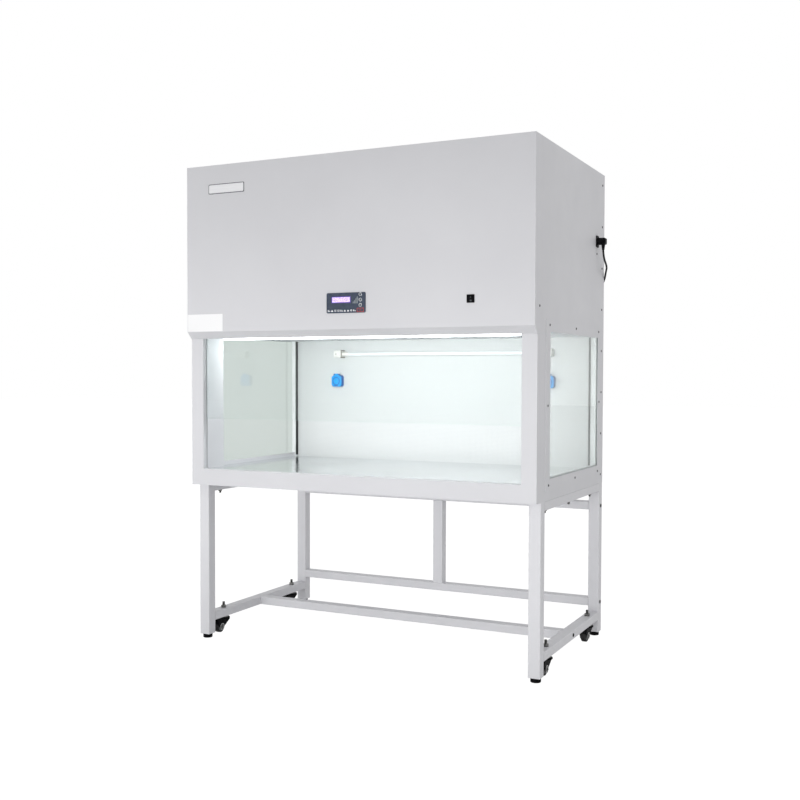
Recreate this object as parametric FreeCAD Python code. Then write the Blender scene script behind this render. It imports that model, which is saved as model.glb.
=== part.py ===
# Horizontal laminar flow cabinet on a tube stand, in millimetres.
# Y is first measured from the cover's front face towards the back. Every piece is then
# shifted so that the origin lies on the floor under the middle of the cabinet.
import FreeCAD, Part
import math
import os
from FreeCAD import Vector

os.makedirs("parts", exist_ok=True)

# Driving sizes of the whole cabinet
body_width = 1300.0
overall_depth = 790.0
overall_height = 1700.0
body_bottom = 568.0
work_height = 626.0
sheet = 1.2
slip = 0.3

# Front cover, the chamber under it and the sash
cover_depth = 68.0
lip_bottom = 1092.0
lip_rise = 24.0
lip_run = 23.5
body_inset = 25.0
deck_height = 1104.0
sill_width = 11.5
sill_height = 14.0
post_width = 50.0
post_back = 143.0
glass_thickness = 5.0
sash_bottom = 808.0
sash_height = 490.0
sash_front = 43.5
sash_play = 0.5
groove_depth = 10.0
sash_end_gap = 2.0
guide_top = overall_height - 60.0
bulkhead_front = 56.0

# Side windows with their outside trim frames
window_front = 151.0
window_back = overall_depth - 77.0
window_bottom = 636.0
window_top = deck_height - 3.0
trim_width = 40.0
trim_thickness = 1.5
glass_margin = 7.0
rebate = 6.0

# Back of the chamber
diffuser_front = overall_depth - 85.0
upright_front = diffuser_front - 5.0
upright_inner = body_width / 2 - 28.0
upright_slim_front = overall_depth - 50.0
upright_wall = 1.5
gasket_width = 6.0
gasket_depth = 4.0
filter_depth = 50.0
filter_rim = 20.0
filter_margin = 10.0
pleat_pitch = 24.0
pleat_wall = 3.0
rear_play = 6.0

# Tube stand
tube = 40.0
rail_height = 30.0
tube_wall = 1.5
tube_round = 3.0
stand_front = 69.0
leg_bottom = 15.0
low_rail_bottom = 60.0
rear_bar_bottom = 110.0
rear_top_bar_bottom = 468.0
leg_plate = 4.0

# Levelling feet and stand fasteners
foot_radius = 17.0
foot_stud_radius = 4.8
foot_stud_top = 56.0
bolt_radius = 4.0
bolt_inset = 99.0
cap_radius = 6.5
side_proud = 3.0

# Casters
caster_inset = 119.0
stud_radius = 5.0
stud_length = 52.0
race_radius = 18.0
race_height = 5.0
rivet_radius = 8.0
wheel_radius = 22.0
wheel_lift = 2.5
wheel_width = 19.0
wheel_play = 0.8
caster_offset = 28.0
axle_radius = 3.0
axle_head = 1.5
fit = 0.06
fork_plate = 4.0
cheek = 4.0
hood_front = 54.0
hood_wall = 3.0
head_radius = 23.0

# Lamps and sockets in the chamber
lamp_height = deck_height - 55.0
lamp_centres = (238.0 - body_width / 2, body_width / 2 - 182.0)
holder_width = 38.0
holder_height = 31.0
holder_depth = 34.0
tube_lamp_radius = 8.0
socket_width = 44.0
socket_height = 46.0
socket_bottom = lamp_height - 132.0
socket_centres = (228.0 - body_width / 2, body_width / 2 - 182.0)
socket_depth = 17.0
lid_thickness = 7.0
light_length = body_width - 180.0
light_gap = 40.0
light_depth = 36.0
light_height = 14.0

# Control panel, switch and power inlet
panel_x = -2.5
panel_z = 1202.5
panel_width = 146.0
panel_height = 67.0
panel_proud = 3.0
panel_box_depth = 28.0
button_proud = 3.6
button_x = 51.7
button_heights = (1229.0, 1211.5, 1194.0)
button_radius = 4.6
button_travel = 1.0
switch_x = 440.0
switch_z = 1203.0
switch_size = 26.0
rocker_tilt = 8.0
inlet_y = overall_depth - 99.5
inlet_z = overall_height - 252.5
inlet_width = 31.0
inlet_height = 41.0

# Blower, inlet filter and lead
fan_y = 330.0
scroll_half = 120.0
scroll_step = 20.0
scroll_wall = 1.5
mouth_gap = 75.0
eye_radius = 100.0
impeller_radius = 130.0
impeller_half = 100.0
blade_inner = 108.0
blade_count = 28
shaft_radius = 8.0
motor_radius = 60.0
motor_length = 110.0
inlet_slot_count = 12
cord_radius = 3.5
coil_radius = 37.5
coil_x = body_width / 2 - 210.0
coil_y = overall_depth - 95.0

# Sizes worked out from the driving ones
half = body_width / 2
inner_half = half - sheet
back_face = overall_depth - sheet
top_face = overall_height - sheet
post_inner = half - post_width
glass_outer = inner_half
glass_inner = glass_outer - glass_thickness
bar_end = half - tube
rail_x = half - tube / 2
mid_y = (stand_front + overall_depth) / 2
bolt_positions = (stand_front + bolt_inset, mid_y, overall_depth - bolt_inset)
low_rail_top = low_rail_bottom + rail_height
top_rail_bottom = body_bottom - rail_height
caster_ys = (stand_front + caster_inset, overall_depth - caster_inset)
origin_y = (overall_depth - button_proud) / 2


def box(x0, x1, y0, y1, z0, z1):
    """Box between two corners."""
    return Part.makeBox(x1 - x0, y1 - y0, z1 - z0, Vector(x0, y0, z0))


def rod(radius, start, end):
    """Round bar between two points."""
    a = Vector(*start)
    line = Vector(*end) - a
    return Part.makeCylinder(radius, line.Length, a, line)


def mirror(shape):
    """The same piece on the other side of the cabinet."""
    return shape.mirror(Vector(0, 0, 0), Vector(1, 0, 0))


def prism_x(points, x0, x1):
    """Outline of (y, z) points, run from x0 to x1."""
    wire = Part.makePolygon([Vector(x0, y, z) for y, z in points + points[:1]])
    return Part.Face(wire).extrude(Vector(x1 - x0, 0, 0))


def prism_z(points, z0, z1):
    """Outline of (x, y) points, run from z0 to z1."""
    wire = Part.makePolygon([Vector(x, y, z0) for x, y in points + points[:1]])
    return Part.Face(wire).extrude(Vector(0, 0, z1 - z0))


def rounded(shape, direction, radius):
    """Rounds the straight edges of a box that run along one direction."""
    edges = []
    for edge in shape.Edges:
        if abs(edge.tangentAt(edge.FirstParameter).dot(direction)) > 0.99:
            edges.append(edge)
    return shape.makeFillet(radius, edges)


def square_tube(x0, x1, y0, y1, z0, z1, direction):
    """Hollow tube with rounded corners along the given direction."""
    outer = rounded(box(x0, x1, y0, y1, z0, z1), direction, tube_round)
    gap = Vector(tube_wall, tube_wall, tube_wall)
    gap = gap - direction * tube_wall
    inner = box(x0 + gap.x, x1 - gap.x, y0 + gap.y, y1 - gap.y, z0 + gap.z, z1 - gap.z)
    return outer.cut(inner)


def hexagon(across_flats, x, y, z0, z1):
    """Hexagonal prism standing on z0."""
    reach = across_flats / math.sqrt(3)
    points = []
    for i in range(6):
        turn = math.radians(60 * i)
        points.append((x + reach * math.cos(turn), y + reach * math.sin(turn)))
    return prism_z(points, z0, z1)


def save(node, *solids):
    """Moves the solids to the cabinet's origin and writes the node's file."""
    shape = solids[0] if len(solids) == 1 else Part.makeCompound(list(solids))
    shape = shape.copy()
    shape.translate(Vector(0, -origin_y, 0))
    shape.exportStep("parts/" + node + ".step")


UP = Vector(0, 0, 1)
BACK = Vector(0, 1, 0)
RIGHT = Vector(1, 0, 0)


# Stand: two welded side frames, three cross bars and a rear centre post
def side_frame():
    """Right side frame: two legs, a top rail and a low rail welded together."""
    frame = None
    for y0 in (stand_front, overall_depth - tube):
        leg = square_tube(bar_end, half, y0, y0 + tube, leg_bottom, body_bottom, UP)
        plate = box(bar_end + tube_wall, half - tube_wall, y0 + tube_wall, y0 + tube - tube_wall,
                    leg_bottom, leg_bottom + leg_plate)
        stud_hole = rod(foot_stud_radius + slip, (rail_x, y0 + tube / 2, 0), (rail_x, y0 + tube / 2, body_bottom))
        leg = leg.fuse(plate).cut(stud_hole)
        frame = leg if frame is None else frame.fuse(leg)
    rear_leg = overall_depth - tube
    for z0 in (low_rail_bottom, top_rail_bottom):
        rail = square_tube(bar_end, half, stand_front + tube, rear_leg, z0, z0 + rail_height, BACK)
        frame = frame.fuse(rail)
    for y in bolt_positions:
        frame = frame.cut(rod(bolt_radius + slip, (rail_x, y, top_rail_bottom - 1), (rail_x, y, body_bottom + 1)))
    for y in caster_ys:
        frame = frame.cut(rod(stud_radius + slip, (rail_x, y, low_rail_bottom - 1), (rail_x, y, low_rail_top + 1)))
    return frame


right_frame = side_frame()
save("side_frame_right", right_frame)
save("side_frame_left", mirror(right_frame))

rear_y = overall_depth - tube
save("cross_bars",
     square_tube(-bar_end, bar_end, rear_y, overall_depth, rear_bar_bottom, rear_bar_bottom + rail_height, RIGHT),
     square_tube(-bar_end, bar_end, rear_y, overall_depth, rear_top_bar_bottom, rear_top_bar_bottom + rail_height,
                 RIGHT),
     square_tube(-bar_end, bar_end, mid_y - tube / 2, mid_y + tube / 2, low_rail_bottom, low_rail_top, RIGHT))
save("post_rear", square_tube(-tube / 2, tube / 2, rear_y, overall_depth, rear_bar_bottom + rail_height,
                              rear_top_bar_bottom, UP))


# Fasteners of the stand: round caps over the bar ends, and bolts that hold the body down
def hole_cap(y, z):
    """Domed plastic cap on the outer face of the right side frame."""
    ball = cap_radius * 1.4
    disc = Part.makeSphere(ball, Vector(half + side_proud - ball, y, z))
    return disc.common(rod(cap_radius, (half, y, z), (half + side_proud, y, z)))


cap_places = ((overall_depth - tube / 2, rear_top_bar_bottom + rail_height / 2),
              (overall_depth - tube / 2, rear_bar_bottom + rail_height / 2),
              (mid_y, low_rail_bottom + rail_height / 2))
right_caps = [hole_cap(y, z) for y, z in cap_places]
save("hole_caps", *right_caps, *[mirror(cap) for cap in right_caps])

bolt_head_height = 5.0
nut_height = 7.0
bolt_tail = 7.0


def stand_bolt(y):
    """Bolt through the pan's floor and the top rail, with its nut drawn up below."""
    head = hexagon(13, rail_x, y, body_bottom + sheet, body_bottom + sheet + bolt_head_height)
    tail_z = top_rail_bottom - nut_height - bolt_tail
    shank = rod(bolt_radius, (rail_x, y, tail_z), (rail_x, y, body_bottom + sheet))
    nut = hexagon(13, rail_x, y, top_rail_bottom - nut_height, top_rail_bottom)
    return head.fuse(shank).fuse(nut)


right_bolts = [stand_bolt(y) for y in bolt_positions]
save("stand_bolts", *right_bolts, *[mirror(bolt) for bolt in right_bolts])


# Levelling feet: a round pad with a threaded stud that turns up into the leg
def foot(x, y):
    """Pad with a bevelled upper edge and its stud."""
    pad_top = leg_bottom - slip
    pad = rod(foot_radius, (x, y, 0), (x, y, pad_top))
    upper = [edge for edge in pad.Edges if abs(edge.BoundBox.ZMin - pad_top) < 0.01 and edge.Length > foot_radius]
    pad = pad.makeChamfer(2.0, upper)
    return pad.fuse(rod(foot_stud_radius, (x, y, 1), (x, y, foot_stud_top)))


for side, x in (("l", -rail_x), ("r", rail_x)):
    for end, y in (("f", stand_front + tube / 2), ("r", overall_depth - tube / 2)):
        save("foot_" + side + end, foot(x, y))

# Casters: a fixed stud with its race and nut, a swivelling hooded fork and a wheel
race_bottom = low_rail_bottom - race_height
fork_top = race_bottom - slip
axle_z = wheel_lift + wheel_radius
rivet_top = fork_top - fork_plate - slip
rivet_bottom = rivet_top - 3.0


def caster_stud(x, y):
    """Threaded stud, race plate and the riveted end that the fork turns on."""
    stud = rod(stud_radius, (x, y, rivet_bottom), (x, y, low_rail_bottom + stud_length))
    race = rod(race_radius, (x, y, race_bottom), (x, y, low_rail_bottom))
    rivet = rod(rivet_radius, (x, y, rivet_bottom), (x, y, rivet_top))
    nut = hexagon(17, x, y, low_rail_top, low_rail_top + 8)
    return stud.fuse(race).fuse(rivet).fuse(nut)


def caster_fork(x, y):
    """Fork with a closed hood whose deep cheeks run from the swivel head to the axle."""
    inner = wheel_width / 2 + wheel_play
    outer = inner + cheek
    front = y - hood_front
    axle_y = y - caster_offset
    boss = 9.0
    outline = [(y + 18, fork_top), (y + 21, fork_top - 9), (axle_y + boss + 6, axle_z),
               (axle_y + 5, axle_z - boss), (axle_y - 5, axle_z - boss), (axle_y - boss - 3, axle_z),
               (front, fork_top - 16), (front + 4, fork_top)]
    body = prism_x(outline, x - outer, x + outer)
    well_front = front + hood_wall
    well = box(x - inner, x + inner, well_front, y + head_radius + 1, 0, fork_top - fork_plate)
    head = rod(head_radius, (x, y, fork_top - fork_plate), (x, y, fork_top))
    body = body.cut(well).fuse(head)
    body = body.cut(rod(stud_radius + fit, (x, y, 0), (x, y, low_rail_top)))
    rivet_room = rod(rivet_radius + slip, (x, y, 0), (x, y, fork_top - fork_plate))
    body = body.cut(rivet_room)
    ends = outer + axle_head
    body = body.cut(rod(axle_radius, (x - ends, axle_y, axle_z), (x + ends, axle_y, axle_z)))
    axle = rod(axle_radius, (x - ends, axle_y, axle_z), (x + ends, axle_y, axle_z))
    for a, b in ((-ends, -outer), (outer, ends)):
        axle = axle.fuse(rod(5, (x + a, axle_y, axle_z), (x + b, axle_y, axle_z)))
    return body, axle


def caster_wheel(x, y):
    """Wheel with a bevelled tread and dished sides, bored for its axle."""
    axle_y = y - caster_offset
    w = wheel_width / 2
    dish = 2.5
    half_profile = [(axle_radius + fit, w), (8, w), (9, w - dish), (wheel_radius - 5, w - dish),
                    (wheel_radius - 4, w), (wheel_radius - 2, w), (wheel_radius, w - 3)]
    profile = [(radius, -along) for radius, along in half_profile] + half_profile[::-1]
    points = [Vector(x + along, axle_y, axle_z + radius) for radius, along in profile]
    face = Part.Face(Part.makePolygon(points + points[:1]))
    return face.revolve(Vector(x, axle_y, axle_z), RIGHT, 360)


studs = []
for side, x in (("l", -rail_x), ("r", rail_x)):
    for end, y in (("f", caster_ys[0]), ("r", caster_ys[1])):
        studs.append(caster_stud(x, y))
        save("caster_fork_" + side + end, *caster_fork(x, y))
        save("caster_wheel_" + side + end, caster_wheel(x, y))
save("caster_studs", *studs)

# Base pan under the worktop: its front wall is the beam that the sash closes on
pan = box(-inner_half, inner_half, body_inset, back_face, body_bottom, work_height - trim_thickness)
pan = pan.cut(box(-inner_half + sheet, inner_half - sheet, body_inset + sheet, back_face - sheet,
                  body_bottom + sheet, work_height))
worktop_front = bulkhead_front + sheet
beam_top = box(-inner_half, inner_half, body_inset, worktop_front - slip, work_height - trim_thickness, work_height)
pan = pan.fuse(beam_top)
for y in bolt_positions:
    for x in (-rail_x, rail_x):
        pan = pan.cut(rod(bolt_radius + slip, (x, y, body_bottom - 1), (x, y, body_bottom + sheet + 1)))
save("base_pan", pan.removeSplitter())

# Worktop: a stainless sheet with a turned-down skirt inside the pan
skirt_depth = 14.0
skirt_gap = 4.0
worktop = box(-inner_half, inner_half, worktop_front, back_face, work_height - trim_thickness, work_height)
skirt_x = inner_half - skirt_gap
skirt_y0 = worktop_front + skirt_gap
skirt_y1 = back_face - skirt_gap
skirt = box(-skirt_x, skirt_x, skirt_y0, skirt_y1, work_height - skirt_depth, work_height - trim_thickness)
skirt = skirt.cut(box(-skirt_x + sheet, skirt_x - sheet, skirt_y0 + sheet, skirt_y1 - sheet, body_bottom,
                      work_height))
save("worktop", worktop.fuse(skirt))

# Front posts: folded box posts with the groove that the sash runs in. A sill runs back from
# each along the foot of its side window.
groove_front = sash_front - sash_play
groove_back = sash_front + glass_thickness + sash_play


def front_post():
    """Right post, stepped behind for the edge of the side window."""
    outline = [(post_inner, body_inset), (inner_half, body_inset), (inner_half, post_back),
               (glass_inner - slip, post_back), (glass_inner - slip, post_back + rebate),
               (post_inner, post_back + rebate)]
    post = prism_z(outline, work_height, deck_height)
    post = post.cut(box(post_inner - 1, post_inner + groove_depth, groove_front, groove_back,
                        work_height - 1, deck_height + 1))
    wall = upright_wall
    front_room = box(post_inner + wall, inner_half - wall, body_inset + wall, groove_front - wall,
                     work_height - 1, deck_height + 1)
    back_room = box(post_inner + wall, glass_inner - slip - wall, groove_back + wall, post_back - wall,
                    work_height - 1, deck_height + 1)
    sill_x = glass_inner - slip
    sill = box(sill_x - sill_width, sill_x, post_back, upright_front - slip, work_height, work_height + sill_height)
    return post.cut(front_room).cut(back_room).fuse(sill)


right_post = front_post()
save("front_posts", mirror(right_post), right_post)


# Side panels: one folded sheet a side, cut out for the window and the power inlet
def side_panel(with_inlet):
    """Right side panel."""
    outline = [(body_inset, body_bottom), (overall_depth, body_bottom), (overall_depth, overall_height),
               (cover_depth + slip, overall_height), (cover_depth + slip, lip_bottom - slip),
               (body_inset, lip_bottom - slip)]
    panel = prism_x(outline, inner_half, half)
    panel = panel.cut(box(inner_half - 1, half + 1, window_front - 2, window_back + 2, window_bottom - 2,
                          window_top + 2))
    if with_inlet:
        panel = panel.cut(box(inner_half - 1, half + 1, inlet_y - inlet_width / 2 + 2, inlet_y + inlet_width / 2 - 2,
                              inlet_z - inlet_height / 2 + 3, inlet_z + inlet_height / 2 - 3))
    return panel


save("side_panel_right", side_panel(True))
save("side_panel_left", mirror(side_panel(False)))

# Side windows: clear panes behind the panel's cut-out, and the screwed trim frames outside
pane = box(glass_inner, glass_outer, window_front - glass_margin, window_back + glass_margin,
           window_bottom - glass_margin, deck_height - slip)
save("side_glass", mirror(pane), pane)

trim = box(half, half + trim_thickness, window_front - trim_width - 3, window_back + trim_width - 3,
           window_bottom - trim_width, window_top + trim_width)
trim = rounded(trim, RIGHT, 2.0)
trim = trim.cut(box(half - 1, half + 3, window_front, window_back, window_bottom, window_top))
save("side_trims", mirror(trim), trim)


# Rear uprights: box posts at the back corners, slimmer above the deck
def upright():
    """Right rear upright, stepped in front for the window's back edge."""
    step = window_back + glass_margin + slip
    outline = [(upright_inner, upright_front), (glass_inner - slip, upright_front), (glass_inner - slip, step),
               (inner_half, step), (inner_half, back_face), (upright_inner, back_face)]
    lower = prism_z(outline, work_height, deck_height)
    upper = box(upright_inner, inner_half, upright_slim_front, back_face, deck_height, top_face)
    wall = upright_wall
    room = box(upright_inner + wall, inner_half - wall, upright_slim_front + wall, back_face - wall,
               work_height - 1, top_face + 1)
    return lower.fuse(upper).cut(room)


right_upright = upright()
save("rear_uprights", mirror(right_upright), right_upright)

# Diffuser: the flat back wall of the chamber, with a turned edge on the worktop
diffuser = box(-upright_inner, upright_inner, diffuser_front, diffuser_front + sheet, work_height, deck_height)
save("diffuser", diffuser)

# Gaskets: soft strips over the joints between the diffuser and the uprights
gasket_x = upright_inner - gasket_width + 2
gasket_y = upright_front - gasket_depth
gasket = box(gasket_x, gasket_x + gasket_width, gasket_y, upright_front, work_height + 6, deck_height - 2)
gasket = gasket.fuse(box(gasket_x, upright_inner, gasket_y, diffuser_front, work_height + 6, deck_height - 2))
save("gaskets", mirror(gasket), gasket)

# Filter: an open frame with a pleated pack from side to side
filter_front = diffuser_front + sheet
filter_half = upright_inner - filter_margin
filter_z0 = work_height + filter_margin
filter_z1 = deck_height - filter_margin + 4
frame = box(-filter_half, filter_half, filter_front, filter_front + filter_depth, filter_z0, filter_z1)
frame = frame.cut(box(-filter_half + filter_rim, filter_half - filter_rim, filter_front - 1,
                      filter_front + filter_depth + 1, filter_z0 + filter_rim, filter_z1 - filter_rim))
pleat_count = int((filter_half - filter_rim) * 2 / pleat_pitch)
pleat_step = (filter_half - filter_rim) * 2 / pleat_count
front_line = []
back_line = []
for i in range(2 * pleat_count + 1):
    x = -filter_half + filter_rim + i * pleat_step / 2
    y = filter_front + 4 if i % 2 == 0 else filter_front + filter_depth - 4 - pleat_wall
    front_line.append((x, y))
    back_line.append((x, y + pleat_wall))
pack = prism_z(front_line + back_line[::-1], filter_z0 + filter_rim, filter_z1 - filter_rim)
save("hepa_filter", frame, pack)

# Fan deck: the chamber's ceiling, folded up in front as the bulkhead that carries the guides
deck = box(-inner_half, inner_half, bulkhead_front, upright_front - slip, deck_height, deck_height + sheet)
deck_tongue = box(-upright_inner + slip, upright_inner - slip, upright_front - 1, diffuser_front + sheet,
                  deck_height, deck_height + sheet)
bulkhead = box(-inner_half, inner_half, bulkhead_front, bulkhead_front + sheet, deck_height, top_face)
save("fan_deck", deck.fuse(deck_tongue).fuse(bulkhead).removeSplitter())

# Sash: a clear pane that slides behind the cover in the posts' grooves and two channels above
guide = box(post_inner - 1, post_inner + groove_depth + 2, groove_front - 3, bulkhead_front, deck_height, guide_top)
guide = guide.cut(box(post_inner - 2, post_inner + groove_depth, groove_front, groove_back, deck_height - 1,
                      guide_top + 1))
save("sash_guides", mirror(guide), guide)

sash_half = post_inner + groove_depth - sash_end_gap
sash = box(-sash_half, sash_half, sash_front, sash_front + glass_thickness, sash_bottom,
           sash_bottom + sash_height)
save("sash", rounded(sash, BACK, 3.0))

# Front cover: a folded pan with side returns and a slanted lip
lip_length = math.hypot(lip_run, lip_rise)
lip_in_y = sheet * lip_rise / lip_length
lip_in_z = sheet * lip_run / lip_length
lip_corner = lip_bottom + lip_rise
cover = prism_x([(0, lip_corner), (0, overall_height), (cover_depth, overall_height), (cover_depth, lip_bottom),
                 (lip_run, lip_bottom)], -half, half)
corner_in = lip_corner + sheet * (lip_length - lip_rise) / lip_run
cover = cover.cut(prism_x([(sheet, corner_in), (lip_run + lip_in_y, lip_bottom + lip_in_z), (lip_run, lip_bottom),
                           (lip_run, lip_bottom - 5), (cover_depth + 5, lip_bottom - 5),
                           (cover_depth + 5, top_face), (sheet, top_face)], -inner_half, inner_half))
panel_hole_x = panel_width / 2 - 8
panel_hole_z = panel_height / 2 - 1.5
cover = cover.cut(box(panel_x - panel_hole_x - slip, panel_x + panel_hole_x + slip, -1, sheet + 1,
                      panel_z - panel_hole_z - slip, panel_z + panel_hole_z + slip))
switch_hole = switch_size / 2 - 2
cover = cover.cut(box(switch_x - switch_hole - slip, switch_x + switch_hole + slip, -1, sheet + 1,
                      switch_z - switch_hole - slip, switch_z + switch_hole + slip))
save("front_cover", cover)

# Top panel with rows of intake slots over the inlet filter
intake_half = 200.0
intake_depth = 300.0
slot_width = 12.0
slot_pitch = intake_depth / inlet_slot_count
intake_front = fan_y - intake_depth / 2
top_panel = box(-inner_half, inner_half, cover_depth + slip, back_face, top_face, overall_height)
for i in range(inlet_slot_count):
    y = intake_front + (i + 0.5) * slot_pitch
    top_panel = top_panel.cut(box(-intake_half + 10, intake_half - 10, y - slot_width / 2, y + slot_width / 2,
                                  top_face - 1, overall_height + 1))
save("top_panel", top_panel)
save("prefilter", box(-intake_half, intake_half, intake_front, intake_front + intake_depth, top_face - 20, top_face))

# Rear panel
save("rear_panel", box(-inner_half, inner_half, back_face, overall_depth, body_bottom, overall_height))


# Blower: the scroll's spiral of four growing arcs, its impeller of curved blades and its motor
deck_top = deck_height + sheet
scroll_start = impeller_radius + scroll_step
scroll_shift = scroll_step / 2
scroll_end = scroll_start + 3 * scroll_step
fan_z = deck_top + scroll_wall + scroll_shift + scroll_end
outlet_top = fan_z + scroll_shift - scroll_start


def spiral(margin, reach):
    """Solid of the scroll's spiral, closed by a straight line under its tongue."""
    s = scroll_shift
    edges = []
    corners = []
    for i, (across, up) in enumerate(((s, s), (-s, s), (-s, -s), (s, -s))):
        radius = scroll_start + i * scroll_step + margin
        arc = []
        for turn in (-90, -45, 0):
            angle = math.radians(turn + 90 * i)
            arc.append(Vector(-reach, fan_y + across + radius * math.cos(angle),
                              fan_z + up + radius * math.sin(angle)))
        edges.append(Part.Arc(*arc).toShape())
        corners.append(arc)
    edges.append(Part.makeLine(corners[3][2], corners[0][0]))
    return Part.Face(Part.Wire(edges)).extrude(Vector(2 * reach, 0, 0))


casing_inner = scroll_half - scroll_wall
mouth_front = fan_y + scroll_shift
mouth_back = diffuser_front - mouth_gap
casing = spiral(scroll_wall, scroll_half)
casing = casing.fuse(box(-scroll_half, scroll_half, mouth_front, mouth_back, deck_top, outlet_top + scroll_wall))
hollow = spiral(0, casing_inner)
hollow = hollow.fuse(box(-casing_inner, casing_inner, mouth_front, mouth_back + 1, deck_top + scroll_wall,
                         outlet_top))
eye = rod(eye_radius, (casing_inner - 1, fan_y, fan_z), (scroll_half + 1, fan_y, fan_z))
shaft_hole = rod(shaft_radius + 4, (-scroll_half - 1, fan_y, fan_z), (-casing_inner + 1, fan_y, fan_z))
save("fan_scroll", casing.cut(hollow).cut(eye).cut(shaft_hole))

motor = rod(motor_radius, (-scroll_half - motor_length, fan_y, fan_z), (-scroll_half, fan_y, fan_z))
motor_rims = [edge for edge in motor.Edges if edge.Length > motor_radius * 6 and
              edge.BoundBox.XMax < 1 - scroll_half - motor_length]
motor = motor.makeChamfer(8.0, motor_rims)
hub_length = 40.0
shaft = rod(shaft_radius, (-scroll_half, fan_y, fan_z), (-impeller_half + hub_length + 4, fan_y, fan_z))
save("motor", motor.fuse(shaft))


def blade(index):
    """Forward-curved blade between the impeller's back plate and its front ring."""
    start = 2 * math.pi * index / blade_count
    lines = []
    for side in (0, 0.015):
        line = []
        for radius, lead_angle in ((blade_inner, 0), ((blade_inner + impeller_radius) / 2, 0.02),
                                   (impeller_radius - 1, 0.08)):
            angle = start + side + lead_angle
            line.append(Vector(-impeller_half + 1, fan_y + radius * math.cos(angle),
                               fan_z + radius * math.sin(angle)))
        lines.append(line)
    first, second = lines
    edges = [Part.Arc(*first).toShape(), Part.makeLine(first[2], second[2]),
             Part.Arc(*second[::-1]).toShape(), Part.makeLine(second[0], first[0])]
    return Part.Face(Part.Wire(edges)).extrude(Vector(2 * impeller_half - 2, 0, 0))


plate = rod(impeller_radius, (-impeller_half, fan_y, fan_z), (-impeller_half + 3, fan_y, fan_z))
hub = rod(shaft_radius + 12, (-impeller_half, fan_y, fan_z), (-impeller_half + hub_length, fan_y, fan_z))
ring = rod(impeller_radius, (impeller_half - 3, fan_y, fan_z), (impeller_half, fan_y, fan_z))
ring = ring.cut(rod(blade_inner - 2, (impeller_half - 4, fan_y, fan_z), (impeller_half + 1, fan_y, fan_z)))
impeller = plate.fuse([hub, ring] + [blade(i) for i in range(blade_count)])
save("impeller", impeller.cut(rod(shaft_radius + fit, (-impeller_half - 1, fan_y, fan_z),
                                  (-impeller_half + hub_length + 1, fan_y, fan_z))))

# Work light under the ceiling, and the lamp tube with its two holders on the back wall
light_front = bulkhead_front + light_gap
save("work_light", rounded(box(-light_length / 2, light_length / 2, light_front, light_front + light_depth,
                               deck_height - light_height, deck_height), RIGHT, 4.0))
lamp_y = diffuser_front - holder_depth + 14
holders = []
for x in lamp_centres:
    block = box(x - holder_width / 2, x + holder_width / 2, diffuser_front - holder_depth, diffuser_front,
                lamp_height - holder_height / 2, lamp_height + holder_height / 2)
    holders.append(rounded(block, RIGHT, 4.0))
save("uv_holders", *holders)
save("uv_tube", rod(tube_lamp_radius, (lamp_centres[0] + holder_width / 2, lamp_y, lamp_height),
                    (lamp_centres[1] - holder_width / 2, lamp_y, lamp_height)))

# Sockets on the back wall, each with a sprung lid hinged along its upper edge
socket_face = diffuser_front - socket_depth
lid_front = socket_face - slip - lid_thickness
barrel_radius = 3.5
pin_radius = 1.5
barrel_half = 7.0
ear_width = 4.5
hinge_gap = 4.0
lid_top = socket_bottom + socket_height - 0.5
hinge_y = socket_face - hinge_gap
hinge_z = lid_top + hinge_gap
socket_bevel = 6.0
recess_radius = 16.0
recess_depth = 12.0


def socket_outline(x, y0, y1, z0, z1):
    """Block with its four corners bevelled, as seen from the front."""
    block = box(x - socket_width / 2, x + socket_width / 2, y0, y1, z0, z1)
    corners = [edge for edge in block.Edges if abs(edge.Length - (y1 - y0)) < 0.01]
    return block.makeChamfer(socket_bevel, corners)


def socket_body(x):
    """Socket box with two round hinge ears and their pin."""
    middle_z = socket_bottom + socket_height / 2
    base = socket_outline(x, socket_face, diffuser_front, socket_bottom, socket_bottom + socket_height)
    base = base.cut(rod(recess_radius, (x, socket_face - 1, middle_z), (x, socket_face + recess_depth, middle_z)))
    for side in (-1, 1):
        near = x + side * (barrel_half + slip)
        far = near + side * ear_width
        ear = box(min(near, far), max(near, far), hinge_y, socket_face + 3, lid_top + slip, hinge_z + barrel_radius)
        base = base.fuse(ear).fuse(rod(barrel_radius, (near, hinge_y, hinge_z), (far, hinge_y, hinge_z)))
    pin_end = barrel_half + slip + ear_width / 2
    return base.fuse(rod(pin_radius, (x - pin_end, hinge_y, hinge_z), (x + pin_end, hinge_y, hinge_z)))


def socket_lid(x):
    """Lid plate with the hinge barrel at its top."""
    lid = socket_outline(x, lid_front, socket_face - slip, socket_bottom, lid_top)
    web = box(x - barrel_half, x + barrel_half, hinge_y - barrel_radius, hinge_y + barrel_radius, lid_top - 1, hinge_z)
    barrel = rod(barrel_radius, (x - barrel_half, hinge_y, hinge_z), (x + barrel_half, hinge_y, hinge_z))
    bore = rod(pin_radius + fit, (x - barrel_half - 1, hinge_y, hinge_z), (x + barrel_half + 1, hinge_y, hinge_z))
    return lid.fuse(web).fuse(barrel).cut(bore)


save("socket_bodies", *[socket_body(x) for x in socket_centres])
save("socket_lid_left", socket_lid(socket_centres[0]))
save("socket_lid_right", socket_lid(socket_centres[1]))

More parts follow.
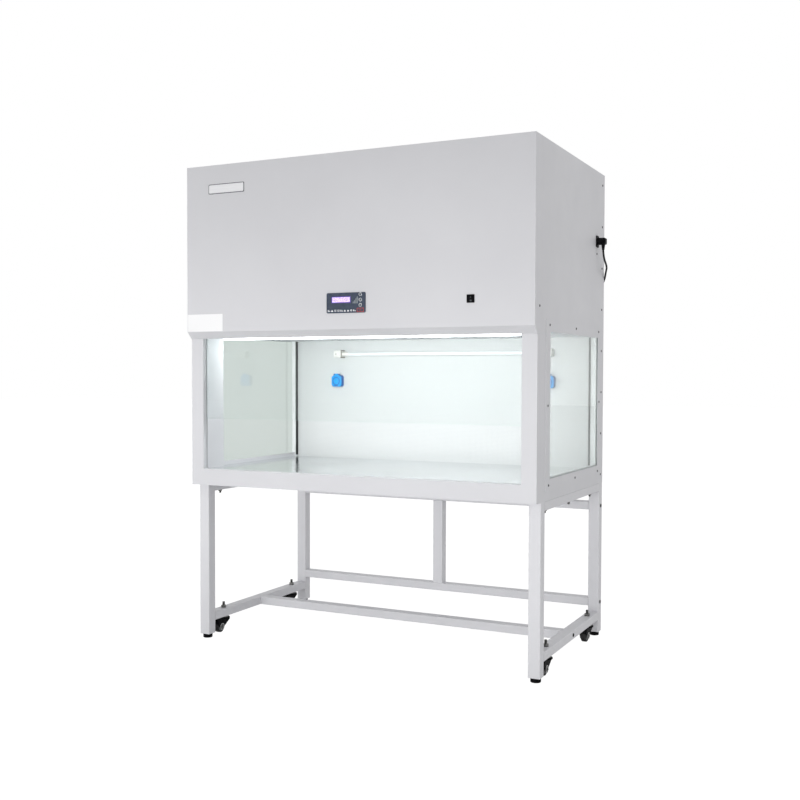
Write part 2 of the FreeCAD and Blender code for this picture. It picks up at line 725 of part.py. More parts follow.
# Control panel: a rounded plate with a box behind it, a display and three push buttons
plate_x = panel_width / 2
plate_z = panel_height / 2
panel = rounded(box(panel_x - plate_x, panel_x + plate_x, -panel_proud, 0, panel_z - plate_z, panel_z + plate_z),
                BACK, 5.0)
panel = panel.fuse(box(panel_x - panel_hole_x, panel_x + panel_hole_x, 0, panel_box_depth,
                       panel_z - panel_hole_z, panel_z + panel_hole_z))
display_box = (-57.0, 16.0, 1201.6, 1223.9)
display_thickness = 1.2
display_gap = 0.1
panel = panel.cut(box(display_box[0] - display_gap, display_box[1] + display_gap, -panel_proud - 1,
                      -panel_proud + display_thickness, display_box[2] - display_gap, display_box[3] + display_gap))
button_length = 5.0
for z in button_heights:
    well_end = -button_proud + button_length + button_travel + slip
    panel = panel.cut(rod(button_radius + fit, (button_x, -panel_proud - 1, z), (button_x, well_end, z)))
save("panel_body", panel)
save("display", box(display_box[0], display_box[1], -panel_proud, -panel_proud + display_thickness,
                    display_box[2], display_box[3]))
for i, z in enumerate(button_heights):
    button = rod(button_radius, (button_x, -button_proud, z), (button_x, -button_proud + button_length, z))
    rims = [edge for edge in button.Edges if edge.BoundBox.YMax < 0.1 - button_proud]
    save("button_" + str(i + 1), button.makeChamfer(0.5, rims))

# Rocker switch: a frame through the cover, and a rocker whose ends follow one arc about its pivot
pivot_y = 2.5
rocker_half_x = 8.0
rocker_radius = 10.3
rocker_apex = 3.1
frame_half = switch_size / 2
switch_frame = box(switch_x - frame_half, switch_x + frame_half, -2, 0, switch_z - frame_half, switch_z + frame_half)
switch_frame = rounded(switch_frame, BACK, 1.5)
switch_frame = switch_frame.fuse(box(switch_x - switch_hole, switch_x + switch_hole, 0, 20, switch_z - switch_hole,
                                     switch_z + switch_hole))
switch_frame = switch_frame.cut(box(switch_x - rocker_half_x - slip, switch_x + rocker_half_x + slip, -3,
                                    pivot_y + 9, switch_z - rocker_radius - slip, switch_z + rocker_radius + slip))
pivot_reach = rocker_half_x + 1.6
switch_frame = switch_frame.cut(rod(1.2 + fit, (switch_x - pivot_reach - slip, pivot_y, switch_z),
                                    (switch_x + pivot_reach + slip, pivot_y, switch_z)))
save("switch_frame", switch_frame)

end_y = pivot_y - rocker_apex - rocker_radius * math.tan(math.radians(rocker_tilt))
rocker = prism_x([(pivot_y - rocker_apex, switch_z), (end_y, switch_z + rocker_radius),
                  (pivot_y + 4, switch_z + rocker_radius), (pivot_y + 6, switch_z + 5), (pivot_y + 6, switch_z - 5),
                  (pivot_y + 4, switch_z - rocker_radius), (end_y, switch_z - rocker_radius)],
                 switch_x - rocker_half_x, switch_x + rocker_half_x)
rocker = rocker.common(rod(rocker_radius, (switch_x - 12, pivot_y, switch_z), (switch_x + 12, pivot_y, switch_z)))
rocker = rocker.fuse(rod(1.2, (switch_x - pivot_reach, pivot_y, switch_z), (switch_x + pivot_reach, pivot_y, switch_z)))
rocker.rotate(Vector(switch_x, pivot_y, switch_z), RIGHT, rocker_tilt)
save("rocker", rocker)

# Panel screws: low heads on the trim frames, down the rear edges, on the cover's sides and one
# under the power inlet
screw_radius = 4.0
screw_top = 3.2
screw_proud = 1.5
screw_sides = 12


def screw_head(start, y, z):
    """Tapered head seated on a face at x = start."""
    rings = []
    for x, radius in ((start, screw_radius), (start + screw_proud, screw_top)):
        turns = [2 * math.pi * i / screw_sides for i in range(screw_sides)]
        ring = [Vector(x, y + radius * math.cos(turn), z + radius * math.sin(turn)) for turn in turns]
        rings.append(Part.makePolygon(ring + ring[:1]))
    return Part.makeLoft(rings, True, True)


window_mid = (window_front + window_back) / 2
trim_low_z = window_bottom - 20
trim_high_z = window_top + 22
trim_mid_z = (window_bottom + window_top) / 2
trim_screws = ((window_front - 8.3, trim_high_z), (window_mid, trim_high_z), (window_back + 4, trim_high_z),
               (window_front - 23.6, trim_mid_z), (window_back + 15, trim_mid_z),
               (window_back + 1.6, trim_low_z), (window_mid - 2, trim_low_z), (window_front - 12.6, trim_low_z))
heads = [screw_head(half + trim_thickness, y, z) for y, z in trim_screws]
rear_screw_y = overall_depth - 29
rear_screw_top = overall_height - 40.5
rear_screw_bottom = body_bottom + 32.4
rear_screw_count = 8
rear_screw_pitch = (rear_screw_top - rear_screw_bottom) / (rear_screw_count - 1)
for i in range(rear_screw_count):
    heads.append(screw_head(half, rear_screw_y, rear_screw_top - i * rear_screw_pitch))
cover_screw_y = 44.0
cover_screw_z = lip_bottom + 86
heads.append(screw_head(half, cover_screw_y, cover_screw_z))
earth_screw = screw_head(half, inlet_y, inlet_z - 44.5)
save("panel_screws", *heads, *[mirror(head) for head in heads], earth_screw)

# Power inlet on the right side, with the lead's right-angle connector
flange_x = half + side_proud
inlet = box(half, flange_x, inlet_y - inlet_width / 2, inlet_y + inlet_width / 2, inlet_z - inlet_height / 2,
            inlet_z + inlet_height / 2)
inlet = rounded(inlet, RIGHT, 3.0)
inlet = inlet.fuse(box(half - 30, half, inlet_y - inlet_width / 2 + 2 + slip, inlet_y + inlet_width / 2 - 2 - slip,
                       inlet_z - inlet_height / 2 + 3 + slip, inlet_z + inlet_height / 2 - 3 - slip))
nose_y = 10.0
nose_z = 7.5
nose_length = 15.0
inlet = inlet.cut(box(flange_x - nose_length - slip, flange_x + 1, inlet_y - nose_y - slip, inlet_y + nose_y + slip,
                      inlet_z - nose_z - slip, inlet_z + nose_z + slip))
save("inlet", inlet)

connector_reach = 30.0
connector_half = 11.5
sleeve_x = flange_x + 20
sleeve_end = inlet_z - connector_half - 20
connector = box(flange_x, flange_x + connector_reach, inlet_y - 12, inlet_y + 12, inlet_z - connector_half,
                inlet_z + connector_half)
connector = rounded(connector, BACK, 4.0)
connector = connector.fuse(box(flange_x - nose_length, flange_x + 5, inlet_y - nose_y, inlet_y + nose_y,
                               inlet_z - nose_z, inlet_z + nose_z))
sleeve = Part.makeCone(cord_radius + 0.8, 7.0, inlet_z - connector_half + 1 - sleeve_end,
                       Vector(sleeve_x, inlet_y, sleeve_end))
save("connector", connector.fuse(sleeve))


# Lead: hangs behind the right rear leg, then runs over the floor to its tied coil
def lead(points):
    """Round lead of straight runs joined by arcs; prints its tightest bend and a volume check."""
    edges = []
    last = points[0]
    radii = []
    for i in range(1, len(points) - 1):
        before = points[i] - points[i - 1]
        after = points[i + 1] - points[i]
        reach = 0.45 * min(before.Length, after.Length)
        turn = before.getAngle(after)
        radius = reach / math.tan(turn / 2)
        radii.append(radius)
        start = points[i] - before * (reach / before.Length)
        end = points[i] + after * (reach / after.Length)
        inward = (start + end) * 0.5 - points[i]
        middle = points[i] + inward * ((radius / math.cos(turn / 2) - radius) / inward.Length)
        edges.append(Part.LineSegment(last, start).toShape())
        edges.append(Part.Arc(start, middle, end).toShape())
        last = end
    edges.append(Part.LineSegment(last, points[-1]).toShape())
    path = Part.Wire(edges)
    ring = Part.Wire([Part.makeCircle(cord_radius, points[0], points[1] - points[0])])
    tube_shape = path.makePipeShell([ring], True, True)
    share = tube_shape.Volume / (math.pi * cord_radius ** 2 * path.Length)
    print("lead length", round(path.Length), "tightest bend", round(min(radii)), "volume share", round(share, 3))
    return tube_shape

floor_z = cord_radius + slip
coil_base = 1.5
coil_z = coil_base + cord_radius


def near_edge(out, behind, below):
    """Point by the right rear edge: outwards, backwards and below the inlet's middle."""
    return Vector(half + out, overall_depth + behind, inlet_z - below)


route = [Vector(sleeve_x, inlet_y, sleeve_end), near_edge(23.4, -97, 48.5), near_edge(25, -87, 67.5),
         near_edge(26, -68, 81), near_edge(22, -45, 91), near_edge(14, -24, 100), near_edge(7, -6, 111),
         near_edge(0, 9, 126), near_edge(-12, 16, 148), near_edge(-23, 19, 180), near_edge(-25.5, 20, 232),
         near_edge(-26.4, 21.3, 315)]
hang_top = inlet_z - 407.5
hang_foot = 145.0
hang_steps = 10
for i in range(hang_steps + 1):
    z = hang_top - (hang_top - hang_foot) * i / hang_steps
    share = 0.16 + 0.84 * i / hang_steps
    bow = 16 * (math.sin(math.pi * (0.12 + 0.8 * share)) - math.sin(math.pi * 0.12))
    route.append(Vector(half - 26 - 2 * math.sin(math.pi * share), overall_depth + 19 + bow, z))
route += [Vector(half - 29, overall_depth + 21, 82), Vector(half - 43, overall_depth + 20, 34),
          Vector(half - 70, overall_depth + 10, 9), Vector(half - 99, overall_depth - 8, floor_z + 0.6),
          Vector(half - 127, overall_depth - 28, floor_z), Vector(half - 155, overall_depth - 44, floor_z),
          Vector(half - 183, overall_depth - 52.5, floor_z + 0.6),
          Vector(coil_x, coil_y + coil_radius + cord_radius, coil_z)]
tail_turn = math.radians(115)
tail_radius = coil_radius + cord_radius
plug_x = coil_x - 88
plug_y = coil_y + 18
plug_z = 9.5
tail = [Vector(coil_x + tail_radius * math.cos(tail_turn), coil_y + tail_radius * math.sin(tail_turn), plug_z + 2.5),
        Vector(coil_x - 34, coil_y + 29.4, plug_z + 1.9), Vector(coil_x - 52, coil_y + 22.5, plug_z + 0.9),
        Vector(coil_x - 70, plug_y, plug_z), Vector(plug_x, plug_y, plug_z)]
save("cord", lead(route), lead(tail))

# Spare lead in a neat coil with its tie, and the plug lying beside it
coil_outer = coil_radius + 2 * cord_radius
coil_inner = coil_radius - 2 * cord_radius
coil_top = coil_base + 4 * cord_radius


def coil_ring(grow):
    """Ring of the coiled lead, grown by the given amount."""
    ring = rod(coil_outer + grow, (coil_x, coil_y, coil_base - grow), (coil_x, coil_y, coil_top + grow))
    ring = ring.cut(rod(coil_inner - grow, (coil_x, coil_y, -5), (coil_x, coil_y, coil_top + 5)))
    rims = [edge for edge in ring.Edges if edge.Length > 2 * coil_inner]
    return ring.makeChamfer(cord_radius - 1, rims)


coil = coil_ring(0)
save("coil", coil)
tie_width = 12.0
tie_slab = box(coil_x - tie_width / 2, coil_x + tie_width / 2, coil_y - coil_outer - 5, coil_y, 0, coil_top + 5)
save("tie", coil_ring(1.2).common(tie_slab).cut(coil))

plug_sleeve = 22.0
plug_length = 35.0
pin_length = 19.0
body_start = plug_x - plug_sleeve
body_end = body_start - plug_length
plug = Part.makeCone(7.0, cord_radius + 0.8, plug_sleeve + 1, Vector(body_start - 1, plug_y, plug_z), RIGHT)
grip = box(body_end, body_start, plug_y - 13, plug_y + 13, plug_z - 9, plug_z + 9)
plug = plug.fuse(rounded(grip, RIGHT, 5.0))
for side in (-9.5, 9.5):
    plug = plug.fuse(rod(2.4, (body_end - pin_length, plug_y + side, plug_z), (body_end, plug_y + side, plug_z)))
save("plug", plug)
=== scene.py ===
import bpy
import bmesh
import math
from mathutils import Matrix, Vector


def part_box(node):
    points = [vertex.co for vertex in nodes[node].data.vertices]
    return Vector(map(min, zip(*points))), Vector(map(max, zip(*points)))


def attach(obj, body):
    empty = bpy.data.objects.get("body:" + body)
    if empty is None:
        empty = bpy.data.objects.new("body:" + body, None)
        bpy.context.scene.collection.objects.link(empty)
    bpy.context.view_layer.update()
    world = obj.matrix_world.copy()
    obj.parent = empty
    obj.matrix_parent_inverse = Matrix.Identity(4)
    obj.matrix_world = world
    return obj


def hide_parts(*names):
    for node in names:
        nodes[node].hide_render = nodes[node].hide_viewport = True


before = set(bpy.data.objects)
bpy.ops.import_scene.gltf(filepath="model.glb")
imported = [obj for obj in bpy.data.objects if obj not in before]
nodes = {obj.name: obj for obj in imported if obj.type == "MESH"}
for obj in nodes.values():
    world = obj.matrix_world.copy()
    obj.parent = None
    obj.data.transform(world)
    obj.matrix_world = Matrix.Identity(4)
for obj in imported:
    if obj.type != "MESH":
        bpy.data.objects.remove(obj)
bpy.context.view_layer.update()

# Stand: square steel tubes welded into two side frames, with three cross bars and a
# rear post, all powder coated off-white. The coat has a faint orange peel.
middle = 393.2
leg_x = 630
foot_y = (89, 770)
caster_y = (188, 671)
bolt_y = (168, 429.5, 691)
side_face = 650
up = (0, 0, 1)
sideways = (1, 0, 0)
forward = (0, -1, 0)


def at(x, y, z):
    """Place in metres of a point given in millimetres, y from the cover's front face."""
    return Vector((x / 1000, (y - middle) / 1000, z / 1000))


def at_legs(front, rear):
    """Ending of the name, x and y of the four pieces that stand one at each leg."""
    return ("lf", -leg_x, front), ("rf", leg_x, front), ("lr", -leg_x, rear), ("rr", leg_x, rear)


def finish(name, colour, rough, metal=0.0):
    """New material with its main shader set."""
    mat = bpy.data.materials.new(name)
    mat.use_nodes = True
    shader = mat.node_tree.nodes["Principled BSDF"]
    shader.inputs["Base Color"].default_value = (*colour, 1)
    shader.inputs["Roughness"].default_value = rough
    shader.inputs["Metallic"].default_value = metal
    return mat, mat.node_tree, shader


def pattern(tree, scale, detail=3.0, stretch=(1, 1, 1)):
    """Noise over the piece's own coordinates, stretched along its axes."""
    coords = tree.nodes.new("ShaderNodeTexCoord")
    mapping = tree.nodes.new("ShaderNodeMapping")
    mapping.inputs["Scale"].default_value = stretch
    cloud = tree.nodes.new("ShaderNodeTexNoise")
    cloud.inputs["Scale"].default_value = scale
    cloud.inputs["Detail"].default_value = detail
    tree.links.new(coords.outputs["Object"], mapping.inputs["Vector"])
    tree.links.new(mapping.outputs["Vector"], cloud.inputs["Vector"])
    return cloud.outputs["Fac"]


def tone(tree, shader, fac, low, high):
    """Base colour that wanders between two tones."""
    mix = tree.nodes.new("ShaderNodeMix")
    mix.data_type = "RGBA"
    mix.inputs["A"].default_value = (*low, 1)
    mix.inputs["B"].default_value = (*high, 1)
    spread = tree.nodes.new("ShaderNodeMapRange")
    spread.inputs["From Min"].default_value = 0.35
    spread.inputs["From Max"].default_value = 0.65
    tree.links.new(fac, spread.inputs["Value"])
    tree.links.new(spread.outputs["Result"], mix.inputs["Factor"])
    tree.links.new(mix.outputs["Result"], shader.inputs["Base Color"])
    return mix.outputs["Result"]


def gloss(tree, shader, fac, low, high):
    """Roughness that wanders between two values."""
    spread = tree.nodes.new("ShaderNodeMapRange")
    spread.inputs["From Min"].default_value = 0.3
    spread.inputs["From Max"].default_value = 0.7
    spread.inputs["To Min"].default_value = low
    spread.inputs["To Max"].default_value = high
    tree.links.new(fac, spread.inputs["Value"])
    tree.links.new(spread.outputs["Result"], shader.inputs["Roughness"])


def relief(tree, shader, fac, depth, strength=1.0):
    """Fine surface height from a pattern."""
    bump = tree.nodes.new("ShaderNodeBump")
    bump.inputs["Distance"].default_value = depth
    bump.inputs["Strength"].default_value = strength
    tree.links.new(fac, bump.inputs["Height"])
    tree.links.new(bump.outputs["Normal"], shader.inputs["Normal"])


def powder_coat(name, low, high, rough):
    """Powder coat: slow drift of tone, uneven gloss and a fine orange peel."""
    mat, tree, shader = finish(name, high, rough)
    tone(tree, shader, pattern(tree, 2.2, 4.0), low, high)
    gloss(tree, shader, pattern(tree, 14.0, 3.0), rough - 0.06, rough + 0.08)
    relief(tree, shader, pattern(tree, 700.0, 2.0), 0.00012, 0.35)
    shader.inputs["Specular IOR Level"].default_value = 0.2
    return mat


def moulded(name, low, high, rough, grain=1200.0, shine=0.5):
    """Moulded plastic with a fine grain; shine is how much its surface mirrors."""
    mat, tree, shader = finish(name, high, rough)
    tone(tree, shader, pattern(tree, 80.0), low, high)
    gloss(tree, shader, pattern(tree, 30.0), rough - 0.05, rough + 0.08)
    relief(tree, shader, pattern(tree, grain), 0.00003, 0.3)
    shader.inputs["Specular IOR Level"].default_value = shine
    return mat


def paint(piece, *mats):
    """Gives a piece its materials in order; its faces keep their own numbers."""
    if len(piece.data.materials):
        piece.data.materials.clear()
    for mat in mats:
        piece.data.materials.append(mat)


stand_coat = powder_coat("stand_coat", (0.69, 0.69, 0.715), (0.73, 0.73, 0.755), 0.38)
for name in ("side_frame_left", "side_frame_right", "cross_bars", "post_rear"):
    paint(nodes[name], stand_coat)

# Stand fasteners: body bolts, caster studs and the round caps over the bar ends. Each kind is
# one turned form, the bolts and studs with a cut thread, repeated at its places.


def lathe(bm, profile, centre, axis, steps=32, closed=False, index=0):
    """Turned form about an axis through centre, from (radius, along) pairs in millimetres."""
    axis = Vector(axis).normalized()
    side = axis.orthogonal().normalized()
    other = axis.cross(side)
    rings = []
    for radius, along in profile:
        base = Vector(centre) + axis * along / 1000
        count = 1 if radius < 1e-6 else steps
        ring = []
        for i in range(count):
            turn = 2 * math.pi * i / steps
            ring.append(bm.verts.new(base + (side * math.cos(turn) + other * math.sin(turn)) * radius / 1000))
        rings.append(ring)
    pairs = list(zip(rings, rings[1:]))
    if closed:
        pairs.append((rings[-1], rings[0]))
    for a, b in pairs:
        for i in range(steps):
            j = (i + 1) % steps
            loop = []
            for v in (a[i % len(a)], a[j % len(a)], b[j % len(b)], b[i % len(b)]):
                if v not in loop:
                    loop.append(v)
            if len(loop) > 2:
                bm.faces.new(loop).material_index = index


def hex_nut(bm, flats, low, high, centre, axis, index=0):
    """Hexagonal nut or head with its corners turned off at both ends."""
    reach = flats / math.sqrt(3)
    cut = reach * 0.12
    face = flats * 0.46
    profile = [(0, low), (face, low), (reach, low + cut), (reach, high - cut), (face, high), (0, high)]
    lathe(bm, profile, centre, axis, 6, index=index)


def thread(radius, low, high, pitch=1.5):
    """Profile of a cut thread with chamfered ends."""
    root = radius * 0.84
    points = [(0, low), (root, low)]
    along = low + 0.6
    while along + pitch < high:
        points += [(root, along), (radius, along + pitch / 2)]
        along += pitch
    return points + [(root, high - 0.4), (root * 0.9, high), (0, high)]


def from_bmesh(name, bm):
    """Object made of a bmesh, with outward faces, smooth where the form is round."""
    bmesh.ops.remove_doubles(bm, verts=bm.verts, dist=1e-7)
    bmesh.ops.recalc_face_normals(bm, faces=bm.faces)
    for f in bm.faces:
        f.smooth = True
    mesh = bpy.data.meshes.new(name)
    bm.to_mesh(mesh)
    bm.free()
    mesh.set_sharp_from_angle(angle=math.radians(32))
    return bpy.data.objects.new(name, mesh)


def settle(piece, body, *mats):
    """Links a new piece, gives it its materials and lets it ride on its body."""
    bpy.context.scene.collection.objects.link(piece)
    if mats:
        paint(piece, *mats)
    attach(piece, body)
    return piece


def repeats_group():
    """Node group that sets one form at every place, turned to face along its direction."""
    group = bpy.data.node_groups.new("repeats", "GeometryNodeTree")
    face = group.interface
    face.new_socket("Geometry", in_out="INPUT", socket_type="NodeSocketGeometry")
    face.new_socket("Form", in_out="INPUT", socket_type="NodeSocketObject")
    face.new_socket("Finish", in_out="INPUT", socket_type="NodeSocketMaterial")
    face.new_socket("Turn", in_out="INPUT", socket_type="NodeSocketFloat")
    face.new_socket("Seed", in_out="INPUT", socket_type="NodeSocketInt")
    face.new_socket("Geometry", in_out="OUTPUT", socket_type="NodeSocketGeometry")
    new = group.nodes.new
    link = group.links.new
    given = new("NodeGroupInput")
    result = new("NodeGroupOutput")
    form = new("GeometryNodeObjectInfo")
    facing = new("GeometryNodeInputNamedAttribute")
    facing.data_type = "FLOAT_VECTOR"
    facing.inputs["Name"].default_value = "facing"
    align = new("FunctionNodeAlignRotationToVector")
    align.axis = "Z"
    chance = new("FunctionNodeRandomValue")
    spin = new("FunctionNodeAxisAngleToRotation")
    spin.inputs["Axis"].default_value = (0, 0, 1)
    turned = new("FunctionNodeRotateRotation")
    turned.rotation_space = "LOCAL"
    copies = new("GeometryNodeInstanceOnPoints")
    real = new("GeometryNodeRealizeInstances")
    coat = new("GeometryNodeSetMaterial")
    link(given.outputs["Form"], form.inputs["Object"])
    link(given.outputs["Turn"], chance.inputs[3])
    link(given.outputs["Seed"], chance.inputs["Seed"])
    link(facing.outputs["Attribute"], align.inputs["Vector"])
    link(chance.outputs[1], spin.inputs["Angle"])
    link(align.outputs["Rotation"], turned.inputs["Rotation"])
    link(spin.outputs["Rotation"], turned.inputs["Rotate By"])
    link(given.outputs["Geometry"], copies.inputs["Points"])
    link(form.outputs["Geometry"], copies.inputs["Instance"])
    link(turned.outputs["Rotation"], copies.inputs["Rotation"])
    link(copies.outputs["Instances"], real.inputs["Geometry"])
    link(real.outputs["Geometry"], coat.inputs["Geometry"])
    link(given.outputs["Finish"], coat.inputs["Material"])
    link(coat.outputs["Geometry"], result.inputs["Geometry"])
    return group


repeats = repeats_group()


def repeated(name, form, places, mat, turn=0.0, seed=1):
    """Plain mesh of one form repeated at places, each a point and the way it faces."""
    mesh = bpy.data.meshes.new(name + "_places")
    mesh.from_pydata([tuple(place) for place, way in places], [], [])
    facing = mesh.attributes.new("facing", "FLOAT_VECTOR", "POINT")
    for i, (place, way) in enumerate(places):
        facing.data[i].vector = way
    holder = bpy.data.objects.new(name + "_places", mesh)
    bpy.context.scene.collection.objects.link(holder)
    values = {"Form": form, "Finish": mat, "Turn": turn, "Seed": seed}
    maker = holder.modifiers.new("repeats", "NODES")
    maker.node_group = repeats
    for item in repeats.interface.items_tree:
        if item.item_type == "SOCKET" and item.in_out == "INPUT" and item.name in values:
            maker[item.identifier] = values[item.name]
    holder.update_tag()
    bpy.context.view_layer.update()
    seen = holder.evaluated_get(bpy.context.evaluated_depsgraph_get())
    made = bpy.data.objects.new(name, bpy.data.meshes.new_from_object(seen))
    holder.modifiers.remove(maker)
    bpy.data.objects.remove(holder)
    bpy.data.objects.remove(form)
    return made


def plated(name, low, high):
    """Plated steel with uneven gloss."""
    mat, tree, shader = finish(name, high, 0.3, 1.0)
    tone(tree, shader, pattern(tree, 150.0), low, high)
    gloss(tree, shader, pattern(tree, 80.0), 0.24, 0.42)
    return mat


zinc_plate = plated("zinc_plate", (0.14, 0.14, 0.135), (0.3, 0.3, 0.29))
black = moulded("black_moulding", (0.004, 0.004, 0.005), (0.009, 0.009, 0.01), 0.45, shine=0.03)
zero = (0, 0, 0)

form = bmesh.new()
lathe(form, thread(5.0, -12.6, 52, 1.25), zero, up, 24)
lathe(form, [(0, -5), (17.2, -5), (18, -4.2), (18, -0.8), (17.2, 0), (0, 0)], zero, up, 48)
lathe(form, [(0, -12.6), (7, -12.6), (8, -11.4), (8, -9.6), (0, -9.6)], zero, up, 32)
lathe(form, [(0, 30), (10, 30), (10, 31.6), (0, 31.6)], zero, up, 32)
hex_nut(form, 17, 31.6, 39.5, zero, up)
places = [(at(x, y, 60), up) for x in (-leg_x, leg_x) for y in caster_y]
studs = repeated("caster_bolts", from_bmesh("stud_form", form), places, zinc_plate, math.pi, 4)
settle(studs, "cabinet")
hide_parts("caster_studs")

form = bmesh.new()
lathe(form, thread(4.0, -44, -36, 1.25), zero, up, 24)
lathe(form, [(0, -36.2), (4, -36.2), (4, 2), (0, 2)], zero, up, 24)
hex_nut(form, 13, -37, -30, zero, up)
hex_nut(form, 13, 1.2, 6.2, zero, up)
places = [(at(x, y, 568), up) for x in (-leg_x, leg_x) for y in bolt_y]
bolts = repeated("body_bolts", from_bmesh("bolt_form", form), places, zinc_plate, math.pi, 7)
settle(bolts, "cabinet")
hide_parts("stand_bolts")

form = bmesh.new()
lathe(form, [(0, 0), (6.5, 0), (6.5, 0.9), (5.9, 1.6), (4.6, 2.3), (2.6, 2.8), (0, 3.0)], zero, up, 40)
places = []
for side in (-1, 1):
    for y, z in ((770, 483), (770, 125), (429.5, 75)):
        places.append((at(side * side_face, y, z), (side, 0, 0)))
caps = repeated("bar_caps", from_bmesh("cap_form", form), places, black)
settle(caps, "cabinet")
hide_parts("hole_caps")

# Levelling feet: a moulded black pad with a grooved rim on a plated stud, which screws into the
# plug at the lower end of each leg.
pad_profile = [(0, 0), (15.6, 0), (17, 1.4), (17, 5.2), (16.2, 6), (17, 6.8), (17, 12.2), (15, 14.7),
               (0, 14.7)]
for end, x, y in at_legs(*foot_y):
    pad = bmesh.new()
    lathe(pad, pad_profile, at(x, y, 0), up, 48)
    lathe(pad, thread(4.8, 14.5, 56, 1.5), at(x, y, 0), up, 20, index=1)
    pad = settle(from_bmesh("pad_" + end, pad), "foot_" + end + "_body", black, zinc_plate)
    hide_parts("foot_" + end)

# Casters: black moulded hoods that turn on their studs. The wheel has a black tread round a grey
# hub and runs on an axle with a plated nut at each end. A pale washer ring round each nut is a
# painted highlight of the wheel's rim.
tyre = moulded("tyre", (0.008, 0.008, 0.009), (0.018, 0.018, 0.019), 0.6, 1600.0)
# Pale grey ring material: a painted highlight on the caster's cheek, standing in for the shine of the wheel's
# rim.
painted_highlight_ring = moulded("painted_highlight_ring", (0.5, 0.5, 0.5), (0.62, 0.62, 0.62), 0.3)
hub = moulded("hub_grey", (0.16, 0.16, 0.165), (0.22, 0.22, 0.225), 0.4)
tyre_profile = [(16.5, -8.8), (17.4, -9.5), (19.8, -9.5), (21.2, -8.4), (22, -6), (22, 6), (21.2, 8.4),
                (19.8, 9.5), (17.4, 9.5), (16.5, 8.8)]
hub_profile = [(3.06, -9.5), (7.6, -9.5), (8.6, -7.2), (14.8, -6.6), (16.6, -8.2), (16.6, 8.2), (14.8, 6.6),
               (8.6, 7.2), (7.6, 9.5), (3.06, 9.5)]
for end, x, y in at_legs(*caster_y):
    paint(nodes["caster_fork_" + end], black)
    axle = at(x, y - 28, 24.5)
    wheel = bmesh.new()
    lathe(wheel, tyre_profile, axle, sideways, 64, True)
    lathe(wheel, hub_profile, axle, sideways, 48, True, 1)
    wheel = settle(from_bmesh("wheel_" + end, wheel), "caster_wheel_" + end + "_body", tyre, hub)
    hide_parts("caster_wheel_" + end)
    nuts = bmesh.new()
    for side in (-1, 1):
        way = (side, 0, 0)
        lathe(nuts, [(0, 14.2), (7.4, 14.2), (7.4, 15.2), (0, 15.2)], axle, way, 32)
        # The pale washer ring is a painted highlight round the nut.
        lathe(nuts, [(9.6, 14.2), (12.4, 14.2), (12.1, 15.2), (9.9, 15.2)], axle, way, 40, True, 1)
        hex_nut(nuts, 10, 15.2, 17.4, axle, way)
        lathe(nuts, [(0, 17.2), (2.9, 17.2), (2.6, 18.6), (1.4, 19.2), (0, 19.3)], axle, way, 20)
    nuts = from_bmesh("axle_nuts_" + end, nuts)
    settle(nuts, "caster_fork_" + end + "_body", zinc_plate, painted_highlight_ring)

# Body: folded steel sheet, powder coated white. Base pan, posts, side panels, uprights,
# deck, top, rear and front cover are screwed and riveted together.
body_coat = powder_coat("body_coat", (0.675, 0.675, 0.70), (0.71, 0.71, 0.735), 0.42)
# The rear uprights inside the chamber take a lighter copy of the same white coat: painted light for the lit
# chamber.
inner_coat_painted_lighter = powder_coat("inner_coat_painted_lighter", (0.80, 0.815, 0.82), (0.84, 0.855, 0.86), 0.4)
for name in ("base_pan", "side_panel_left", "side_panel_right", "side_trims", "fan_deck", "top_panel",
             "rear_panel", "front_cover", "front_posts"):
    paint(nodes[name], body_coat)
paint(nodes["rear_uprights"], inner_coat_painted_lighter)

# Panel screws: low pan heads with a cross recess in dark plated steel, each turned its own way.
# They hold the side skins, the window trims and the rear panel.
dark_steel = plated("dark_steel", (0.03, 0.03, 0.033), (0.07, 0.07, 0.073))


def cross_head(radius, height):
    """Pan head standing on its seat, with a cross recess."""
    bm = bmesh.new()
    flat = radius * 0.66
    steps = 24
    rings = []
    for r, h in ((radius, 0), (radius, height * 0.35), (radius * 0.9, height * 0.75), (flat, height)):
        ring = []
        for i in range(steps):
            turn = 2 * math.pi * i / steps
            ring.append(bm.verts.new((r / 1000 * math.cos(turn), r / 1000 * math.sin(turn), h / 1000)))
        rings.append(ring)
    for a, b in zip(rings, rings[1:]):
        for i in range(steps):
            j = (i + 1) % steps
            bm.faces.new((a[i], a[j], b[j], b[i]))
    bm.faces.new(rings[0][::-1])
    arm = radius * 0.52
    slim = radius * 0.13
    corners = [(arm, -slim), (arm, slim), (slim, slim), (slim, arm), (-slim, arm), (-slim, slim),
               (-arm, slim), (-arm, -slim), (-slim, -slim), (-slim, -arm), (slim, -arm), (slim, -slim)]
    rim = [bm.verts.new((x / 1000, y / 1000, height / 1000)) for x, y in corners]
    bottom = [bm.verts.new((x / 1250, y / 1250, height * 0.2 / 1000)) for x, y in corners]
    edges = [bm.edges.new((rim[i], rim[(i + 1) % 12])) for i in range(12)]
    edges += [bm.edges.get((rings[3][i], rings[3][(i + 1) % steps])) for i in range(steps)]
    bmesh.ops.triangle_fill(bm, edges=edges, use_beauty=True)
    for i in range(12):
        j = (i + 1) % 12
        bm.faces.new((rim[i], rim[j], bottom[j], bottom[i]))
    bm.faces.new(bottom)
    return bm


